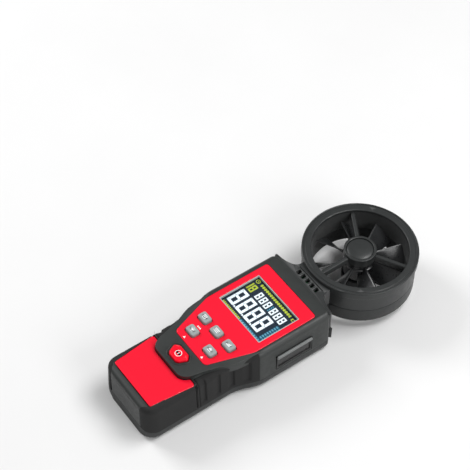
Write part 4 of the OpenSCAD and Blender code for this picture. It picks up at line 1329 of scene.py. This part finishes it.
@dataclass
class VaneHead:
    """The ring, neck, spokes and hubs of the fixed head."""

    shop: Workshop
    form: BodyForm
    ring_radius: float = 36.0
    side_radius: float = 35.2
    duct_radius: float = 30.0
    hub_radius: float = 10.1
    spoke_width: float = 2.7
    neck_width: float = 26.0
    neck_length: float = 8.3
    neck_foot: float = 1.5
    neck_curve: float = 7.0
    slot_pitch: float = 4.2
    neck_drop: float = 2.6
    roof: float = 2.4
    spoke_drop: float = 2.1
    spoke_depth: float = 4.4
    gap: float = 0.12

    def ring_profile(self, top: float, seam: float) -> Loop2:
        """Section of the ring's front half: a flat face with a groove inside its outer lip."""
        inner, outer, side = self.duct_radius, self.ring_radius, self.side_radius
        low = seam + self.gap
        points = [(inner + 0.6, low), (inner + 0.6, top - 2.2), (inner, top - 1.8)]
        points += arc((inner + 0.7, top - 0.7), 0.7, 180, 90, 5)
        points += [(inner + 2.2, top)]
        points += arc((outer - 2.6, top - 0.35), 0.35, 90, 15, 4)
        points += [(outer - 2.05, top - 0.45), (outer - 1.15, top - 0.5)]
        points += arc((outer - 0.55, top - 0.55), 0.55, 150, 0, 9)
        points += [(outer, top - 2.4)]
        points += arc((outer - 0.4, top - 4.6), 0.4, 0, -90, 4)
        points += [(side, top - 5.1), (side, low + 0.35), (side - 0.3, low)]
        return points

    def duct_shade_profile(self, top: float, seam: float) -> Loop2:
        """Section of the darker sheet inside the duct: painted shade on the duct wall."""
        inner, outer, low = self.duct_radius, self.duct_radius + 0.58, seam + self.gap
        return [(inner, low), (inner, top - 1.9), (outer, top - 2.3), (outer, low)]

    def hub_profile(self, low: float, top: float, pocket: float) -> Loop2:
        """Section of a fixed hub with a pocket for its cap."""
        r = self.hub_radius
        points = [(3.0, low), (r - 0.4, low), (r, low + 0.4)]
        points += arc((r - 0.5, top - 0.5), 0.5, 0, 90, 4)
        points += arc((8.85, top - 0.4), 0.4, 90, 180, 3)
        return points + [(8.42, pocket), (3.0, pocket)]

    def neck_half(self, steps: int = 16) -> Loop2:
        """Right half of the neck's outline: a round foot, then a hollow curve to the ring."""
        wide, top = self.form.case_width / 2 - 1.6, high_corner("front_shell").y
        reach = wide - self.neck_width / 2
        half = arc((wide - 1.4, top + self.neck_foot - 1.0), 1.0, -90, 60, 7)
        for k in range(2, steps + 1):
            a = math.radians(90 - 90 * k / steps)
            y = top + self.neck_foot + self.neck_curve * (1 - math.sin(a))
            half.append((wide - reach * math.cos(a), y))
        return half + [(self.neck_width / 2, top + self.neck_length + 3.0)]

    def front(self) -> None:
        """Builds the front half of ring and hub."""
        shop, at = self.shop, middle("impeller_shaft")
        top, seam = high_corner("vane_front").z, low_corner("vane_front").z
        ring = lathe(self.ring_profile(top, seam), 160)
        hub = lathe(self.hub_profile(low_corner("front_bearing").z, top - 0.6, low_corner("hub_cap").z), 72)
        reach = self.duct_radius + 0.8 - self.hub_radius
        outline = rectangle((reach, self.spoke_width), 0.2, (self.hub_radius + reach / 2 - 0.4, 0), 2)
        spoke_top = top - self.spoke_drop
        spoke = plate(outline, spoke_top - self.spoke_depth, spoke_top, edge=0.45, foot=0.5)
        spokes = shop.repeat.make(spoke, 3, HEAD.build(), first_turn=30, turn=120)
        whole = moved(joined([ring, hub, spokes]), (at.x, at.y, 0))
        shop.piece("vane_head", whole, HEAD, "head_grey", stands_for=["vane_front"])
        # A darker sheet over the duct wall, in the rear half's darker plastic: painted shade inside the duct.
        duct_shade = moved(lathe(self.duct_shade_profile(top, seam), 120), (at.x, at.y, 0))
        shop.piece("duct_liner", duct_shade, HEAD_BACK, "head_grey")

    def neck(self) -> None:
        """Builds the neck's front half with its vent slots, groove and side ribs."""
        shop = self.shop
        face, seam = high_corner("vane_front").z - self.neck_drop, low_corner("vane_front").z
        end = high_corner("front_shell").y
        outline = both_sides(self.neck_half())
        slots = [rectangle((2.5, 3.1), 0.3, (k * self.slot_pitch, end + 3.95), 3) for k in range(-2, 3)]
        groove = rectangle((23.0, 0.36), 0.15, (0, end + 6.75), 3)
        roof = plate(outline, face - self.roof, face, [*slots, groove], edge=0.35)
        hollow = rectangle((19.0, 7.3), 0.3, (0, end + 4.85), 3)
        walls = plate(outline, seam + self.gap, face - self.roof, [hollow], edge=0, foot=0.25)
        shop.piece("neck", joined([roof, walls]), HEAD, "head_grey")
        rib = plate(arc((0, 0), 0.45, 0, 330, 11), seam + 0.6, face - 0.9, edge=0.3, foot=0.3, steps=2)
        curve = self.neck_half(40)[12:38]
        ribs = []
        for sign in (1, -1):
            path = [(sign * (x + 0.05), y, 0) for x, y in curve]
            ribs.append(shop.along.make(rib.copy(), path, 6, HEAD.build()))
        rib.free()
        shop.piece("neck_ribs", joined(ribs), HEAD, "head_grey")

    def cap(self) -> None:
        """Builds the domed front cap."""
        low, high, at = low_corner("hub_cap"), high_corner("hub_cap"), middle("hub_cap")
        half = (high.z - low.z) / 2
        r = (high.x - low.x) / 2 - 0.05
        dome = [(r * x, low.z + half + half * y) for x, y in arc((0, 0), 1, 0, 90, 15)]
        profile = [(0.0, low.z), (r - 0.2, low.z), (r, low.z + 0.2)] + dome[:-1] + [(0.0, high.z)]
        bm = lathe(profile, 72, ring=False)
        self.shop.piece("hub_dome", moved(bm, (at.x, at.y, 0)), CAP, "head_grey", stands_for=["hub_cap"])

    def rear(self) -> None:
        """Builds the rear half."""
        for name, node, edge in (("vane_head_back", "vane_rear", 0.25), ("rear_hub_cap", "rear_cap", 0.2)):
            self.shop.piece(name, packed_copy(node, edge), HEAD_BACK, "head_black", stands_for=[node])

    def build(self) -> None:
        """Builds and dresses the head."""
        self.front()
        self.neck()
        self.cap()
        self.rear()


@dataclass
class Impeller:
    """The turning hub with its twisted blades."""

    shop: Workshop
    blades: int = 8
    hub_radius: float = 9.2
    tip_radius: float = 28.5
    thickness: float = 1.1
    low_angle: float = 5.0
    sweep: float = 25.0
    blade_low: float = 16.4
    blade_high: float = 26.0
    rings: int = 12
    bore: float = 1.02
    collar_low: float = 21.8
    collar_high: float = 23.5

    def blade(self) -> Mesh:
        """One blade, from inside the hub to its tip."""
        height = self.blade_high - self.blade_low
        rings, root = [], self.hub_radius - 0.8
        side = [height * s for s in (0.85, 0.7, 0.55, 0.4, 0.25, 0.12)]
        for k in range(self.rings + 1):
            share = k / self.rings
            r = root + (self.tip_radius - root) * share
            half = self.thickness * (1.0 - 0.25 * share) / 2
            narrow = 1.0 if k < self.rings else 0.86
            loop = arc((0, height - half), half, 0, 180, 6) + [(-half, h) for h in side]
            loop += arc((0, half), half, 180, 360, 6) + [(half, h) for h in reversed(side)]
            loop = [(off * narrow, h) for off, h in loop]
            ring = []
            for off, h in loop:
                angle = math.radians(self.low_angle + self.sweep * h / height)
                x, y = Matrix.Rotation(angle, 2) @ Vector((r, off))
                ring.append((x, y, self.blade_low + h))
            rings.append(ring)
        return skin(rings)

    def build(self) -> None:
        """Builds and dresses the impeller."""
        at = middle("impeller_shaft")
        low, high = low_corner("impeller").z, high_corner("impeller").z
        black = ROTOR.build()
        blades = self.shop.repeat.make(self.blade(), self.blades, black, turn=360 / self.blades)
        r = self.hub_radius
        foot, head = self.collar_low, self.collar_high
        collar = [(r, foot), (r + 0.7, foot + 0.4), (r + 0.7, head - 0.4), (r, head)]
        profile = [(self.bore, low), (r - 0.6, low), (r, low + 0.6), *collar]
        profile += arc((r - 0.7, high - 0.7), 0.7, 0, 90, 4) + [(self.bore, high)]
        hub = lathe(profile, 64)
        whole = moved(joined([blades, hub]), (at.x, at.y, 0))
        self.shop.piece("impeller_blades", whole, ROTOR, "rotor_black", body="rotor", stands_for=["impeller"])


class Inside:
    """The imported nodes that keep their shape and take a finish."""

    KEPT = {
        "backlight": LIGHT_GUIDE, "contact_strips": STRIP, "main_board": BOARD, "keypad_mat": MAT,
        "buzzer": BLACK_PART, "data_port": STEEL, "climate_sensor": BOARD, "pickup_board": BOARD,
        "vane_lead": LEAD, "front_bearing": BRASS, "rear_bearing": BRASS, "impeller_shaft": STEEL,
        "hub_magnets": MAGNET, "cell_left": CELL, "cell_middle": CELL, "cell_right": CELL,
        "cell_springs": STEEL, "cell_plates": STEEL, "case_screws": SCREW, "ring_screws": SCREW,
        "tripod_insert": BRASS,
    }

    def __init__(self, shop: Workshop) -> None:
        """Keeps the workshop."""
        self.shop = shop

    def build(self) -> None:
        """Dresses every kept node."""
        for node, finish in self.KEPT.items():
            self.shop.dress(node, finish)


@dataclass
class Studio:
    """Floor, lamps and camera."""

    target: Point3 = (-53.3, 12.1, 32.0)
    azimuth: float = 53.14
    elevation: float = 50.99
    roll: float = 1.45
    distance: float = 950.0
    lens: float = 118.54

    def axes(self) -> tuple[Vector, Vector, Vector]:
        """The camera's right, up and back directions."""
        a, e, r = (math.radians(v) for v in (self.azimuth, self.elevation, self.roll))
        back = Vector((math.sin(a) * math.cos(e), -math.cos(a) * math.cos(e), math.sin(e)))
        right = Vector((math.cos(a), math.sin(a), 0))
        up = back.cross(right)
        return (math.cos(r) * right + math.sin(r) * up, -math.sin(r) * right + math.cos(r) * up, back)

    def camera(self) -> None:
        """Sets the camera."""
        data = bpy.data.cameras.new("camera")
        data.lens = self.lens
        data.sensor_width = 36.0
        data.clip_start, data.clip_end = 0.05, 10.0
        obj = bpy.data.objects.new("camera", data)
        bpy.context.scene.collection.objects.link(obj)
        right, up, back = self.axes()
        place = (Vector(self.target) + back * self.distance) * MM
        turn = Matrix((right, up, back)).transposed().to_4x4()
        obj.matrix_world = Matrix.Translation(place) @ turn
        bpy.context.scene.camera = obj

    def lamp(self, name: str, place: Point3, size: float, power: float) -> None:
        """Sets a square soft lamp that faces the meter; place in millimetres, size in metres."""
        data = bpy.data.lights.new(name, "AREA")
        data.shape = "SQUARE"
        data.size = size
        data.energy = power
        obj = bpy.data.objects.new(name, data)
        bpy.context.scene.collection.objects.link(obj)
        obj.location = Vector(place) * MM
        obj.rotation_euler = (-Vector(place)).to_track_quat("-Z", "Y").to_euler()

    def build(self) -> None:
        """Builds the studio."""
        scene = bpy.context.scene
        scene.view_settings.view_transform = "Standard"
        world = bpy.data.worlds.new("studio")
        world.use_nodes = True
        sky = world.node_tree.nodes["Background"].inputs
        sky["Color"].default_value, sky["Strength"].default_value = (1, 1, 1, 1), 0.27
        scene.world = world
        self.lamp("key_lamp", (-950, -350, 750), 0.5, 8)
        self.lamp("fill_lamp", (950, 150, 620), 0.5, 4.5)
        self.lamp("top_lamp", (250, 500, 1100), 0.6, 9)
        self.floor()
        self.camera()

    def floor(self) -> None:
        """Lays the pale floor under the meter."""
        bm = bmesh.new()
        bmesh.ops.create_grid(bm, x_segments=8, y_segments=8, size=4.0)
        data = bpy.data.meshes.new("floor")
        bm.to_mesh(data)
        bm.free()
        data.materials.append(FLOOR.build())
        floor = bpy.data.objects.new("floor", data)
        floor.location = (0, 0, CAD_BOX[0].z)
        bpy.context.scene.collection.objects.link(floor)


def main() -> None:
    """Builds the meter's looks, sub-assembly by sub-assembly."""
    logging.basicConfig(level=logging.INFO, format="%(message)s")
    shop = Workshop()
    form = BodyForm()
    collar = Collar(form)
    foot_y = low_corner("front_shell").y
    Shells(shop, form).build()
    Grips(shop, form, collar, foot_y).build()
    Panels(shop, form, collar, foot_y).build(
        ["key_left", "key_middle", "key_right", "key_low_left", "key_low_right"])
    Keys(shop).build()
    Display(shop).build()
    PortCover(shop).build()
    VaneHead(shop, form).build()
    Impeller(shop).build()
    Inside(shop).build()
    Studio().build()


if __name__ == "__main__":
    main()
